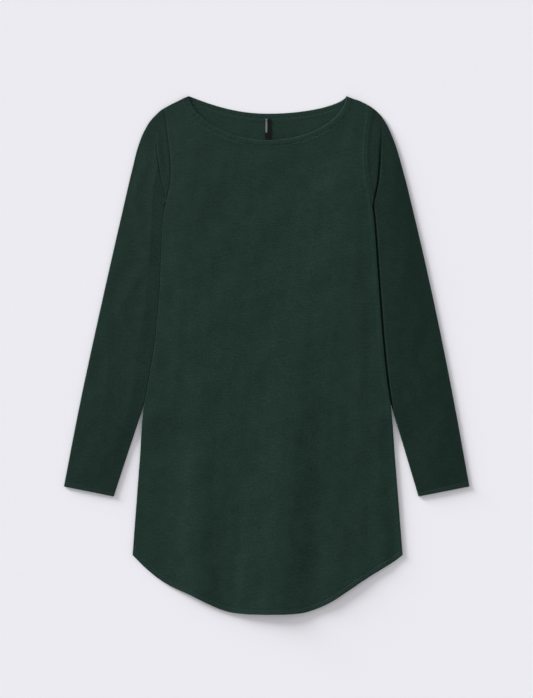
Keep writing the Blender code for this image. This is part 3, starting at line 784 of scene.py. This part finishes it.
def neck_edge(name, neck, base):
    """A folded strip between the neckline and its seam, over the height of the cloth under it."""
    edge = neck_line(NECK_HALF, 0, neck["depth"], neck["powers"], STRIP_RINGS)
    seam = neck_seam(neck, 0, STRIP_RINGS)
    section = strip_section()
    plan = edge[:, None] + (seam - edge)[:, None] * (section[:, 0] / BAND_WIDTH)[:, None]
    run = running(edge)[:, None]
    pucker = 1 + STRIP_PUCKER * (np.sin(2 * np.pi * run / PUCKER_PITCH) + np.sin(run / 3.7 + 1.0))
    height = base(*seam.T)[:, None] + section[:, 1] * pucker
    rings, around = plan.shape[:2]
    numbers = np.arange(rings * around).reshape(rings, around)
    leaves = np.stack([numbers[:, :around // 2], numbers[:, :around // 2 - 1:-1]])
    faces = joined(quads(closed(numbers)), quads(leaves[:, 0]), quads(leaves[:, -1])[:, ::-1])
    cloth = as_points(running(section), run, 0.0)
    # paler along the strip's folded edge: wear and painted highlight
    wear_and_highlight = 0.35 * (1 - ease(section[:, 0], 0.3, 2.6)) + 0 * run
    return cloth_object(name, place(plan, height), faces, cloth, wear_and_highlight, band_jersey)


front_neck_edge = neck_edge("front_neck_edge", FRONT_NECK,
                            lambda x, down: WALL + 2 * SEAM_GAP + loft(x, down))
back_neck_edge = neck_edge("back_neck_edge", BACK_NECK, lambda x, down: 0.0 * x)

# %% [markdown]
# ## Sleeves
# A long sleeve is one piece of jersey, sewn to a tube along the underarm. Lying flat it is two layers
# with a soft round fold at each side, so it is worked out as a tube: rows run from the armhole to the
# cuff and each goes round the sleeve. Beside the armhole the cloth lies at the body's height and then
# drops over a crease, and below the underarm the body covers its inner side.

# %% Lines across a sleeve
SLEEVE_LENGTH = 600.0
KNEE_LENGTH = 9.0             # from the knee of the seam line to its end
LEAST_COVER = 3.0             # from the knee of a section to its inner fold
FIRST_BOW = 4.5
FIRST_BOW_SHARE = 0.06
CREASE_WIDTH = 3.0
FOOT_FLARE = 1 / 3            # of the crease's width, round the underarm
FOOT_TURN = np.array([-7.5, 5.5])
LINE_POINTS = 240


def seam_line(side, t):
    """The armhole seam."""
    start = np.interp(SHOULDER["out"][-1], SLEEVE_OUTER[side], SLEEVE_OUTER["down"])
    down = start + (UNDERARM_DOWN - 0.5 - start) * t
    return as_points(read(BODY_EDGE, side, down) + SEAM_GAP / 2, down)


def crease_line(side, t, width):
    """The top of the crease in the sleeve head, or its foot, a width lower and farther out."""
    start, end = CREASE["down"][[0, -1]]
    down = start + width + (end - start - width) * t
    flare = width * (ease(t, -0.2, 0.1) + FOOT_FLARE * ease(t, 0.84, 0.98))
    return as_points(read(CREASE, side, down) + flare, down)


def section_line(side, share, t):
    """From the outer fold to a knee at the body's edge, and on under it to the inner fold."""
    outer, inner = (np.array([read(rows, side, down), down]) for rows, down in (
        (SLEEVE_OUTER, read(SLEEVE_SECTION, "outer", share)),
        (SLEEVE_INNER, read(SLEEVE_SECTION, "inner", share))))
    fall = ease(inner[1], UNDERARM_DOWN, 500.0) * (inner[1] - outer[1]) / (outer[0] - inner[0])
    knee = inner
    for _ in range(4):
        knee_out = max(read(BODY_EDGE, side, knee[1]), inner[0] + LEAST_COVER)
        knee = np.array([knee_out, inner[1] - fall * (knee_out - inner[0])])
    first = outer + (knee - outer) * t[:, None]
    first[:, 0] += FIRST_BOW * np.exp(-share / FIRST_BOW_SHARE) * np.sin(np.pi * t)
    return first, knee + (inner - knee) * t[1:, None]


# %% Grid of a sleeve
FOLD_STEPS = np.array([0.0, 0.22, 0.55, 1.0, 1.6])
KNEE_STEPS = np.array([0.4, 0.8, 1.2, 1.7, 2.3, 3.0, 4.0, 5.5, 7.5, 10.0])
SLEEVE_COLUMNS = 40
HIDDEN_COLUMNS = 8
SECTION_ROWS = 168
STRIP_STEPS = np.array([0.0, 0.015, 0.04, 0.08, 0.14, 0.24, 0.36, 0.5, 0.64, 0.78, 0.9, 1.0])
CREASE_STEPS = np.linspace(0, 1, 9)[1:]
FOOT_STEPS = np.linspace(0, 1, 8)[1:]
OUTLINE_REACH = 15.0


def across(width, knee):
    """The columns' distances from the outer fold: close at both folds and beside the knee."""
    wide = np.linspace(FOLD_STEPS[-1], knee - KNEE_STEPS[-1], SLEEVE_COLUMNS)[1:]
    covered = np.linspace(knee, width - FOLD_STEPS[-1], HIDDEN_COLUMNS + 1)[:-1]
    return joined(FOLD_STEPS, wide, knee - KNEE_STEPS[-2::-1], covered, width - FOLD_STEPS[::-1])


def sleeve_grid(side):
    """Rows of (out, down) points across a sleeve, their distances, and each row's stage and share.

    The stage is 0 at the seam, 1 on the crease, 2 at its foot and 3 at the first section. The share
    runs from 0 to 1 along the sections.
    """
    t = np.linspace(0, 1, LINE_POINTS)
    lines = [(line, running(line)[-1] - KNEE_LENGTH)
             for line in (seam_line(side, t), crease_line(side, t, 0.0))]
    foot = crease_line(side, t, CREASE_WIDTH)
    lines.append((joined(foot, foot[-1] + FOOT_TURN * t[1:, None]), running(foot)[-1]))
    cuff = joined(EDGE_STEPS, HEM_STEPS)[::-1] / SLEEVE_LENGTH
    shares = joined(np.linspace(0, 1 - HEM_ZONE / SLEEVE_LENGTH, SECTION_ROWS), 1 - cuff)
    for share in shares:
        first, second = section_line(side, share, t)
        lines.append((joined(first, second), running(first)[-1]))
    at = np.array([across(running(line)[-1], knee) for line, knee in lines])
    plans = np.array([resample(line, row) for (line, knee), row in zip(lines, at)])
    stage = joined(STRIP_STEPS, CREASE_STEPS + 1, FOOT_STEPS + 2, 3 + np.arange(1, len(shares)))
    before = np.clip(stage.astype(int), 0, len(lines) - 2)
    mix = (stage - before)[:, None]
    plan = between(plans[before], plans[before + 1], mix[..., None])
    at = between(at[before], at[before + 1], mix)
    tip = plan[:, 0]
    shift = np.where(stage <= 3, read(SLEEVE_OUTER, side, tip[:, 1]) - tip[:, 0], 0)
    shift[0] = 0
    plan[..., 0] += shift[:, None] * (1 - ease(at, 0, OUTLINE_REACH))
    share = joined(np.zeros(len(stage) - len(shares) + 1), shares[1:])[:, None]
    return plan, at, stage[:, None], share


# %% [markdown]
# The two layers are a level plus air, which makes a low cushion between the folds. Where the body's
# edge presses on the sleeve, the cloth beside it stands up almost to the body's height, which leaves
# the narrow dark furrow at the right.

# %% Heights of a sleeve
CREASE_BULGE = 0.15
INNER_EASE = 46.0
PRESSED = (45.0, 110.0, 490.0, 560.0)     # down, where the body's edge presses on the sleeve
LOOSE = (480.0, 580.0)                    # down, where the sleeve comes free of the body
CUFF_CALM = (6.0, 40.0)                   # from the cuff: the cloth is calmer beside the stitches
DEEPEST = 1.15                            # of the furrow, below the flat sleeve
SLEEVE_AIR = dict(            # puff and furrow: how high, how soon beside the body, and from where
    left=dict(puff=2.9, rise=0.22, down=(20.0, 105.0), reach=88.0, round=-0.5, drop=1.4,
              furrow=0.0, furrow_width=0.7, gap=0.6),
    right=dict(puff=2.5, rise=2.3, down=(45.0, 150.0), reach=72.0, round=0.9, drop=1.55,
               furrow=1.5, furrow_width=1.7, gap=0.5),
)
SLEEVE_HEAD = dict(           # dip of the seam, and a trough: place, width, depth and where it lies
    left=dict(dip=0.4, off_seam=10.5, width=3.0, depth=0.2, down=(35.0, 80.0, 100.0, 145.0)),
    right=dict(dip=0.0, off_seam=6.5, width=3.4, depth=0.3, down=(15.0, 60.0, 115.0, 160.0)),
)
SLEEVE_CREASES = dict(
    left=table(
        "down out length width turn height",
        (300, 214, 46, 9, 62, 0.55), (352, 236, 38, 8, 118, 0.45), (330, 250, 52, 10, 84, -0.4),
        (470, 262, 60, 12, 80, 0.5), (560, 276, 48, 9, 66, 0.35), (120, 200, 40, 8, 70, 0.35),
        (215, 206, 52, 9, 98, 0.4),
    ),
    right=table(
        "down out length width turn height",
        (270, 222, 56, 10, 100, 0.5), (340, 240, 40, 8, 62, 0.4), (398, 252, 48, 10, 108, -0.45),
        (450, 244, 44, 9, 72, 0.5), (540, 282, 60, 11, 98, 0.45), (150, 204, 44, 8, 96, 0.3),
        (600, 262, 34, 8, 64, 0.3),
    ),
)


def short_creases(rows, out, down):
    """Sum of long bells: height x exp(-(across / width)^2 - (along / length)^2), each turned."""
    angle = np.radians(rows["turn"])
    dx = out[..., None] - rows["out"]
    dy = down[..., None] - rows["down"]
    along = dx * np.cos(angle) + dy * np.sin(angle)
    aside = dx * np.sin(angle) - dy * np.cos(angle)
    return (rows["height"] * np.exp(-(aside / rows["width"]) ** 2 - (along / rows["length"]) ** 2)).sum(-1)


def beyond_body(side, out, down):
    """Distance outwards from the body's edge, or from the crease above the underarm."""
    crease = read(CREASE, side, down) + SLEEVE_AIR[side]["gap"]
    below = ease(down, CREASE["down"][-1] - 12, CREASE["down"][-1] + 8)
    return out - (crease + (read(BODY_EDGE, side, down) - crease) * below)


def sleeve_heights(side, sign, plan, at, stage, from_cuff):
    """Heights of the upper and lower layer over the table, before the folds round them over."""
    out, down = plan[..., 0], plan[..., 1]
    shape, trough = SLEEVE_AIR[side], SLEEVE_HEAD[side]
    raised = lift(sign * out, down)
    width = at[:, -1:]
    head = np.clip(stage, 0, 1)
    off = out - read(BODY_EDGE, side, down)
    strip_top = DOUBLE + raised + CREASE_BULGE * head * ease(raised, 0, DOUBLE)
    strip_top = strip_top - trough["depth"] * bump(off, trough["off_seam"], trough["width"]) \
        * window(down, *trough["down"])
    strip_top = strip_top + allowance(off, 0.2) * (1 - ease(head, 0.8, 1.0))
    strip_top = strip_top - trough["dip"] * seam_dip(down, off)
    strip_low = raised * (1 - 0.4 * head)
    beyond = beyond_body(side, out, down)
    pressed = window(down, *PRESSED)
    stand = 1 - pressed * np.exp(-(np.clip(beyond, 0, None) / shape["rise"]) ** 2)
    climb = np.clip(at / shape["reach"], 0, 1)
    puff = shape["puff"] * stand * ease(down, *shape["down"]) * climb * (1 + shape["round"] * (1 - climb))
    loose = ease(down, *LOOSE)
    puff = puff * (1 - loose + 0.6 * loose * ease(width - at, 0, INNER_EASE))
    furrow_width = shape["furrow_width"]
    furrow = shape["furrow"] * pressed * bump(beyond, furrow_width * 0.7, furrow_width)
    ripple = 0.5 * (waves(sign * out, down, shift=sign * 2.3) + 0.4)
    ripple = ripple + short_creases(SLEEVE_CREASES[side], out, down)
    ripple = ripple * ease(at, 0, 26) * ease(width - at, 0, 26) * ease(beyond, 3, 22)
    calm = 1 - 0.6 * (1 - ease(from_cuff, *CUFF_CALM))
    lower_top = DOUBLE + (puff + ripple) * calm - furrow
    lower_top = np.maximum(lower_top, DOUBLE - DEEPEST) + turned_hem(from_cuff)
    crest = len(STRIP_STEPS) - 1
    top = between(strip_top[crest], lower_top, ease(stage, 1.0, shape["drop"]))
    low = strip_low[crest] * (1 - ease(stage, 1, 2))
    return np.where(stage <= 1, strip_top, top), np.where(stage <= 1, strip_low, low)


# %% [markdown]
# The tube gets its thickness along its own normals, worked out from the grid with a cross product.
# The cuff is turned in like the hem, so the wall is thicker there, and it rounds over at its end.

# %% Sleeve tubes
CUFF_CLOTH = 1.2
SLEEVE_GRAIN = np.radians(13.0)      # between the sleeve's wales and the body's
UNDER_SHIFT = (0.0, 37.0, 0.0)       # the lower layer takes its pattern from elsewhere


def round_tube(over, under):
    """Rows that go once round a tube, from its upper and its lower layer."""
    return np.concatenate([over, under[:, -2:0:-1]], axis=1)


def sleeve(name, side, sign, finish):
    """A sleeve as a flattened tube of cloth, open at the armhole and the cuff."""
    plan, at, stage, share = sleeve_grid(side)
    from_cuff = (1 - share) * SLEEVE_LENGTH
    top, low = sleeve_heights(side, sign, plan, at, stage, from_cuff)
    from_fold = np.minimum(at, at[:, -1:] - at)
    world = plan * [sign, 1]
    turn = nose(from_fold, DOUBLE / 2)
    middle = (top + low) / 2
    skin = round_tube(place(world, middle + (top - middle) * turn),
                      place(world, middle - (middle - low) * turn))
    around = np.roll(skin, -1, axis=1) - np.roll(skin, 1, axis=1)
    normal = unit(np.cross(around, np.gradient(skin, axis=0))) * sign
    from_seam = running(plan[:, SLEEVE_COLUMNS // 2])[:, None] + EDGE_STEPS[0]
    thick = CLOTH + (CUFF_CLOTH - CLOTH) * (1 - ease(from_cuff, HEM_WIDTH, HEM_WIDTH + HEM_FALL))
    inset = thick / 2 * (1 - nose(np.minimum(from_cuff, from_seam), CUFF_CLOTH / 2))
    outer = skin - normal * inset[..., None] * MM
    inner = skin - normal * (thick - inset)[..., None] * MM
    numbers = np.arange(2 * skin[..., 0].size).reshape(2, *skin.shape[:2])
    outside, inside = (closed(layer) for layer in numbers)
    faces = joined(quads(outside), quads(inside[:, ::-1]), quads(np.stack([inside[0], outside[0]])),
                   quads(np.stack([outside[-1], inside[-1]])))[:, ::-sign]
    aside = plan[..., 0] * np.cos(SLEEVE_GRAIN) - plan[..., 1] * np.sin(SLEEVE_GRAIN)
    along = plan[..., 0] * np.sin(SLEEVE_GRAIN) + plan[..., 1] * np.cos(SLEEVE_GRAIN)
    flat = as_points(aside, along, 0.0)
    flat = round_tube(flat, flat + UNDER_SHIFT)
    # paler at the cuff and along both side folds: wear and painted highlight
    worn_and_highlight = hem_wear_and_highlight(from_cuff) + 0.2 * (1 - ease(from_fold, 0.5, 3))
    worn_and_highlight = round_tube(worn_and_highlight, worn_and_highlight)
    made = cloth_object(name, np.stack([outer, inner]), faces, np.stack([flat, flat + INSIDE_SHIFT]),
                        np.stack([worn_and_highlight, worn_and_highlight]), finish)
    return made, outer, normal, from_cuff


left_sleeve, left_skin, left_normal, left_cuff = sleeve("left_sleeve", "left", -1, left_sleeve_shaded_jersey)
right_sleeve, right_skin, right_normal, right_cuff = sleeve("right_sleeve", "right", 1, right_sleeve_shaded_jersey)

# %% [markdown]
# ## Label
# A narrow satin ribbon is caught in the back neck seam and hangs inside. It curls a little along its
# length and its cut ends are folded under, which makes them thicker.

# %% Label
LABEL_THICK = 0.5
label_low, label_high = np.array(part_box("label")) / MM
LABEL_WIDTH, LABEL_LENGTH = (label_high - label_low)[:2]
# curl: sines along it, and a shallow arch across it; its ends are thicker
along = np.linspace(0, LABEL_LENGTH, 60)[:, None]
offset = np.linspace(-0.5, 0.5, 21) * LABEL_WIDTH
share = along / LABEL_LENGTH
curl = 0.55 * np.sin(np.pi * share) + 0.12 * np.sin(5.2 * share * np.pi + 0.6)
low = label_low[2] + 0.25 + curl + 0.25 * (1 - (2 * offset / LABEL_WIDTH) ** 2)
from_end = np.minimum(along, LABEL_LENGTH - along)
high = low + LABEL_THICK * (1 + 0.7 * (1 - ease(from_end, 4.0, 4.8)))
edge = np.minimum(from_end, LABEL_WIDTH / 2 - np.abs(offset)) + EDGE_STEPS[0]
low, high = round_over(low, high, edge, 0.5, LABEL_THICK / 2)
plan = as_points(offset, HIGH[1] - label_high[1] + along)
satin_label = wall("satin_label", plan, as_points(offset, along), low, high, 0 * edge, ribbon)
label_face = place(plan, high) / MM

# %% [markdown]
# ## Stitches
# A row of stitches is hundreds of tiny bars of thread, each sunk a little at its ends. One bar has
# only 34 faces. It is worked out once, as rings round a short line, and a row's bars are placed
# together: along the path, across it and up from the cloth.

# %% A row of stitches
STITCH_WIDTH = 0.5
STITCH_HEIGHT = 0.38
STITCH_LENGTH = 2.7
STITCH_PITCH = 3.1
RING = np.array([-1.0, -0.8, -0.35, 0.35, 0.8, 1.0])      # rings of six points along a bar
GIRTH = np.sqrt(1.05 - RING ** 2)[:, None]
ARCH = 0.25 * (1 - RING ** 2)[:, None] - 0.12
BAR = np.arange(36).reshape(6, 6)                         # numbers of the points of one bar
BAR_FACES = joined(quads(closed(BAR)), BAR[0, [[0, 1, 2, 3], [0, 3, 4, 5]]],
                   BAR[-1, [[3, 2, 1, 0], [5, 4, 3, 0]]])


def stitch_row(name, paths, ups, pitch=STITCH_PITCH, length=STITCH_LENGTH):
    """Bars of thread along paths in millimetres, with the directions up from the cloth."""
    turn = np.linspace(0, 2 * np.pi, 6, endpoint=False)
    lengthways = (RING * length / 2)[:, None]
    sideways = GIRTH * np.cos(turn)
    upwards = GIRTH * np.sin(turn) * STITCH_HEIGHT / 2 + ARCH
    points, flats = [], []
    for path, up in zip(paths, ups):
        run = running(path)
        at = np.arange(pitch / 2, run[-1] - pitch / 2, pitch)
        along = unit(resample(path, at + 0.4) - resample(path, at - 0.4))
        rise = as_points(*(np.interp(at, run, column) for column in np.broadcast_to(up, path.shape).T))
        aside = unit(np.cross(rise, along))
        rise = np.cross(along, aside)
        centre, along, aside, rise = (v[:, None, None] for v in (resample(path, at), along, aside, rise))
        points.append(centre + along * lengthways[..., None]
                      + aside * (sideways * STITCH_WIDTH / 2)[..., None] + rise * upwards[..., None])
        flats.append(as_points(at[:, None, None] + lengthways, sideways * 0.3, 0.0))
    points = np.concatenate(points)
    faces = BAR_FACES + BAR.size * np.arange(len(points))[:, None, None]
    return cloth_object(name, points * MM, faces.reshape(-1, 4), np.concatenate(flats),
                        np.zeros(points.size // 3), thread)


# %% [markdown]
# The rows are read from the finished grids, at a set distance from the edge, so that each stitch
# lies on its cloth. Hem and cuffs have two rows from a twin needle, and each neck seam has one beside
# the strip, which at the back is sunk into the soft cloth.

# %% Rows on the cloth
UP = np.array([0.0, 0.0, 1.0])
BACK_SINK = 0.16


def at_distance(points, distances, value):
    """On each column of a grid, the place where the distance from the first row is value."""
    column = np.arange(points.shape[1])
    after = np.argmax(distances >= value, axis=0)
    nearer, farther = distances[after - 1, column], distances[after, column]
    share = ((value - nearer) / (farther - nearer))[:, None]
    return between(points[after - 1, column], points[after, column], share)


def hem_rows(points, edges):
    """Two lines along a panel's hem, clear of its side seams."""
    clear = slice(len(EDGE_STEPS), -len(EDGE_STEPS))
    return [at_distance(points[::-1, clear] / MM, edges["bottom"][::-1, clear], value)
            for value in HEM_STITCHES]


def neck_row(neck, points):
    """A line beside a neckline's seam, as high as the four nearest points of the cloth."""
    seam = neck_seam(neck, SEAM_GAP, NECK_COLUMNS + 1)
    along = unit(np.gradient(seam, axis=0))
    line = place((seam + as_points(-along[:, 1], along[:, 0]) * NECK_STITCH)[2:-2], 0)
    cloth = points.reshape(-1, 3)
    gap = np.linalg.norm(cloth[:, None, :2] - line[:, :2], axis=-1)
    nearest = np.argpartition(gap, 4, axis=0)[:4]
    weight = 1 / np.take_along_axis(gap, nearest, axis=0) ** 2
    line[:, 2] = (weight * cloth[nearest, 2]).sum(axis=0) / weight.sum(axis=0)
    return line / MM


def cuff_stitches(name, skin, normal, from_cuff):
    """Two rows of stitches all round a cuff."""
    distance = np.broadcast_to(from_cuff, skin.shape[:2])
    rows, ups = ([at_distance(closed(grid)[::-1], closed(distance)[::-1], value) for value in HEM_STITCHES]
                 for grid in (skin / MM, normal))
    return stitch_row(name, rows, ups)


front_rows = [*hem_rows(front_points, front_edges), neck_row(FRONT_NECK, front_points)]
front_stitches = stitch_row("front_stitches", front_rows, [UP] * 3)
back_stitches = stitch_row("back_hem_stitches", hem_rows(back_under, back_edges), [-UP] * 2)
back_row = neck_row(BACK_NECK, back_inside) - UP * BACK_SINK
back_neck_stitches = stitch_row("back_neck_stitches", [back_row], [UP])
left_stitches = cuff_stitches("left_cuff_stitches", left_skin, left_normal, left_cuff)
right_stitches = cuff_stitches("right_cuff_stitches", right_skin, right_normal, right_cuff)
label_stitches = stitch_row("label_stitches", [label_face[4, 2:-2]], [UP], pitch=1.6, length=1.4)

# %% [markdown]
# ## What each piece is
# Every piece rides on the one body and replaces its plain solid; its finish is set where its mesh is
# made. The size that each cloth was cut to is worked out and printed: a panel's width and length and
# the area inside its outline, and a sleeve's all round.

# %% Pieces and their cuts
def area_of(points):
    """Area of a grid of points: half the cross product of each face's diagonals, added up."""
    first = points[1:, 1:] - points[:-1, :-1]
    second = points[1:, :-1] - points[:-1, 1:]
    return np.linalg.norm(np.cross(first, second), axis=-1).sum() / 2


def dress(piece, node, slot_name, flat, area, rests_on, with_pieces=()):
    """Say what a cloth piece is: body, solid and cut. The slot name is not used."""
    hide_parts(node)
    for part in (piece, *with_pieces):
        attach(part, "root")
    print(f"{piece.name}: cut {flat[0] * 1000:.0f} x {flat[1] * 1000:.0f} mm, {area * 10000:.0f} cm2")


def panel_cut(plan):
    """Width and length of a panel's cut in metres, and its area."""
    return tuple(np.ptp(plan, axis=(0, 1)) * MM), area_of(place(plan, 0.0))


def sleeve_cut(skin):
    """Width all round and length of a sleeve's cut in metres, and its area."""
    looped = closed(skin)
    return (running(looped)[:, -1].max(), running(skin[:, 0])[-1]), area_of(looped)


def strip_cut(neck):
    """A folded strip is cut twice as wide as it shows, and as long as its seam."""
    size = (2 * BAND_WIDTH * MM, running(neck_seam(neck, 0, STRIP_RINGS))[-1] * MM)
    return size, size[0] * size[1]


dress(back_body, "back_panel", "jersey", *panel_cut(back_plan), ["floor", "left_sleeve", "right_sleeve"],
      [back_stitches, back_neck_stitches])
dress(front_body, "front_panel", "jersey", *panel_cut(front_plan), ["back_body"], [front_stitches])
dress(left_sleeve, "sleeve_left", "jersey", *sleeve_cut(left_skin), ["floor"], [left_stitches])
dress(right_sleeve, "sleeve_right", "jersey", *sleeve_cut(right_skin), ["floor"], [right_stitches])
dress(front_neck_edge, "neck_band_front", "jersey_band", *strip_cut(FRONT_NECK), ["back_body"])
dress(back_neck_edge, "neck_band_back", "jersey_band", *strip_cut(BACK_NECK), ["floor"])
dress(satin_label, "label", "label_weave", (LABEL_WIDTH * MM, LABEL_LENGTH * MM),
      LABEL_WIDTH * LABEL_LENGTH * MM * MM, ["back_body"], [label_stitches])

# %% [markdown]
# ## Table, light and camera
# The garment lies on a pale matt board. A long soft box low at the upper left rakes across the cloth
# and brings out its folds, and an even white room, dimmer overhead, fills the shadows. The camera
# looks straight down from three metres with a long lens, so that the edges stay square.

# %% Pale board
FLOOR_HALF = 12.0
FLOOR_DROP = 0.0002
paint, tree, shader = new_finish("matt painted board", Roughness=0.95, Specular_IOR_Level=0.1)
where = add(tree, "TexCoord")["Object"]
grain = add(tree, "TexNoise", {"Vector": where, "Scale": 3.0, "Detail": 2.0})["Fac"]
colour = add(tree, "Mix", {0: grain, 6: linear("#E4E3E9"), 7: linear("#E6E5EB")}, data_type="RGBA")[2]
wire(shader, {"Base Color": colour})
board = bpy.data.meshes.new("floor")
corners = [(x * FLOOR_HALF, y * FLOOR_HALF, -FLOOR_DROP) for x, y in ((-1, -1), (1, -1), (1, 1), (-1, 1))]
board.from_pydata(corners, [], [(0, 1, 2, 3)])
board.materials.append(paint)
floor = new_object("floor", board)

# %% Light
KEY_AZIMUTH = np.radians(140.0)      # from +X, so the light comes from the upper left
KEY_ELEVATION = np.radians(10.0)
key = bpy.data.lights.new("key soft box", "SUN")
key.energy = 7.5
key.angle = np.radians(20.0)         # how wide the soft box looks from the cloth
new_object("key soft box", key).rotation_euler = (0, np.pi / 2 - KEY_ELEVATION, KEY_AZIMUTH)
room = bpy.data.worlds.new("white room")
room.use_nodes = True
up = add(room.node_tree, "SeparateXYZ", [add(room.node_tree, "TexCoord")["Generated"]])[2]
glow = add(room.node_tree, "MapRange", {"Value": up, "To Min": 1.40, "To Max": 0.28})[0]
wire(room.node_tree.nodes["Background"], {"Strength": glow, "Color": (1.0, 1.0, 1.0, 1.0)})
bpy.context.scene.world = room
bpy.context.scene.view_settings.view_transform = "Standard"

# %% Camera
FRAME_HEIGHT = 1.1308         # metres that the frame covers at the cloth
FRAME_CENTRE = (-0.0002, 0.01026)
CLOTH_LEVEL = 0.003
camera_data = bpy.data.cameras.new("camera")
camera_data.lens = 100.0
camera_data.sensor_width = 36.0
distance = FRAME_HEIGHT * camera_data.lens / camera_data.sensor_width
camera = new_object("camera", camera_data)
camera.location = (*FRAME_CENTRE, distance + CLOTH_LEVEL)
bpy.context.scene.camera = camera
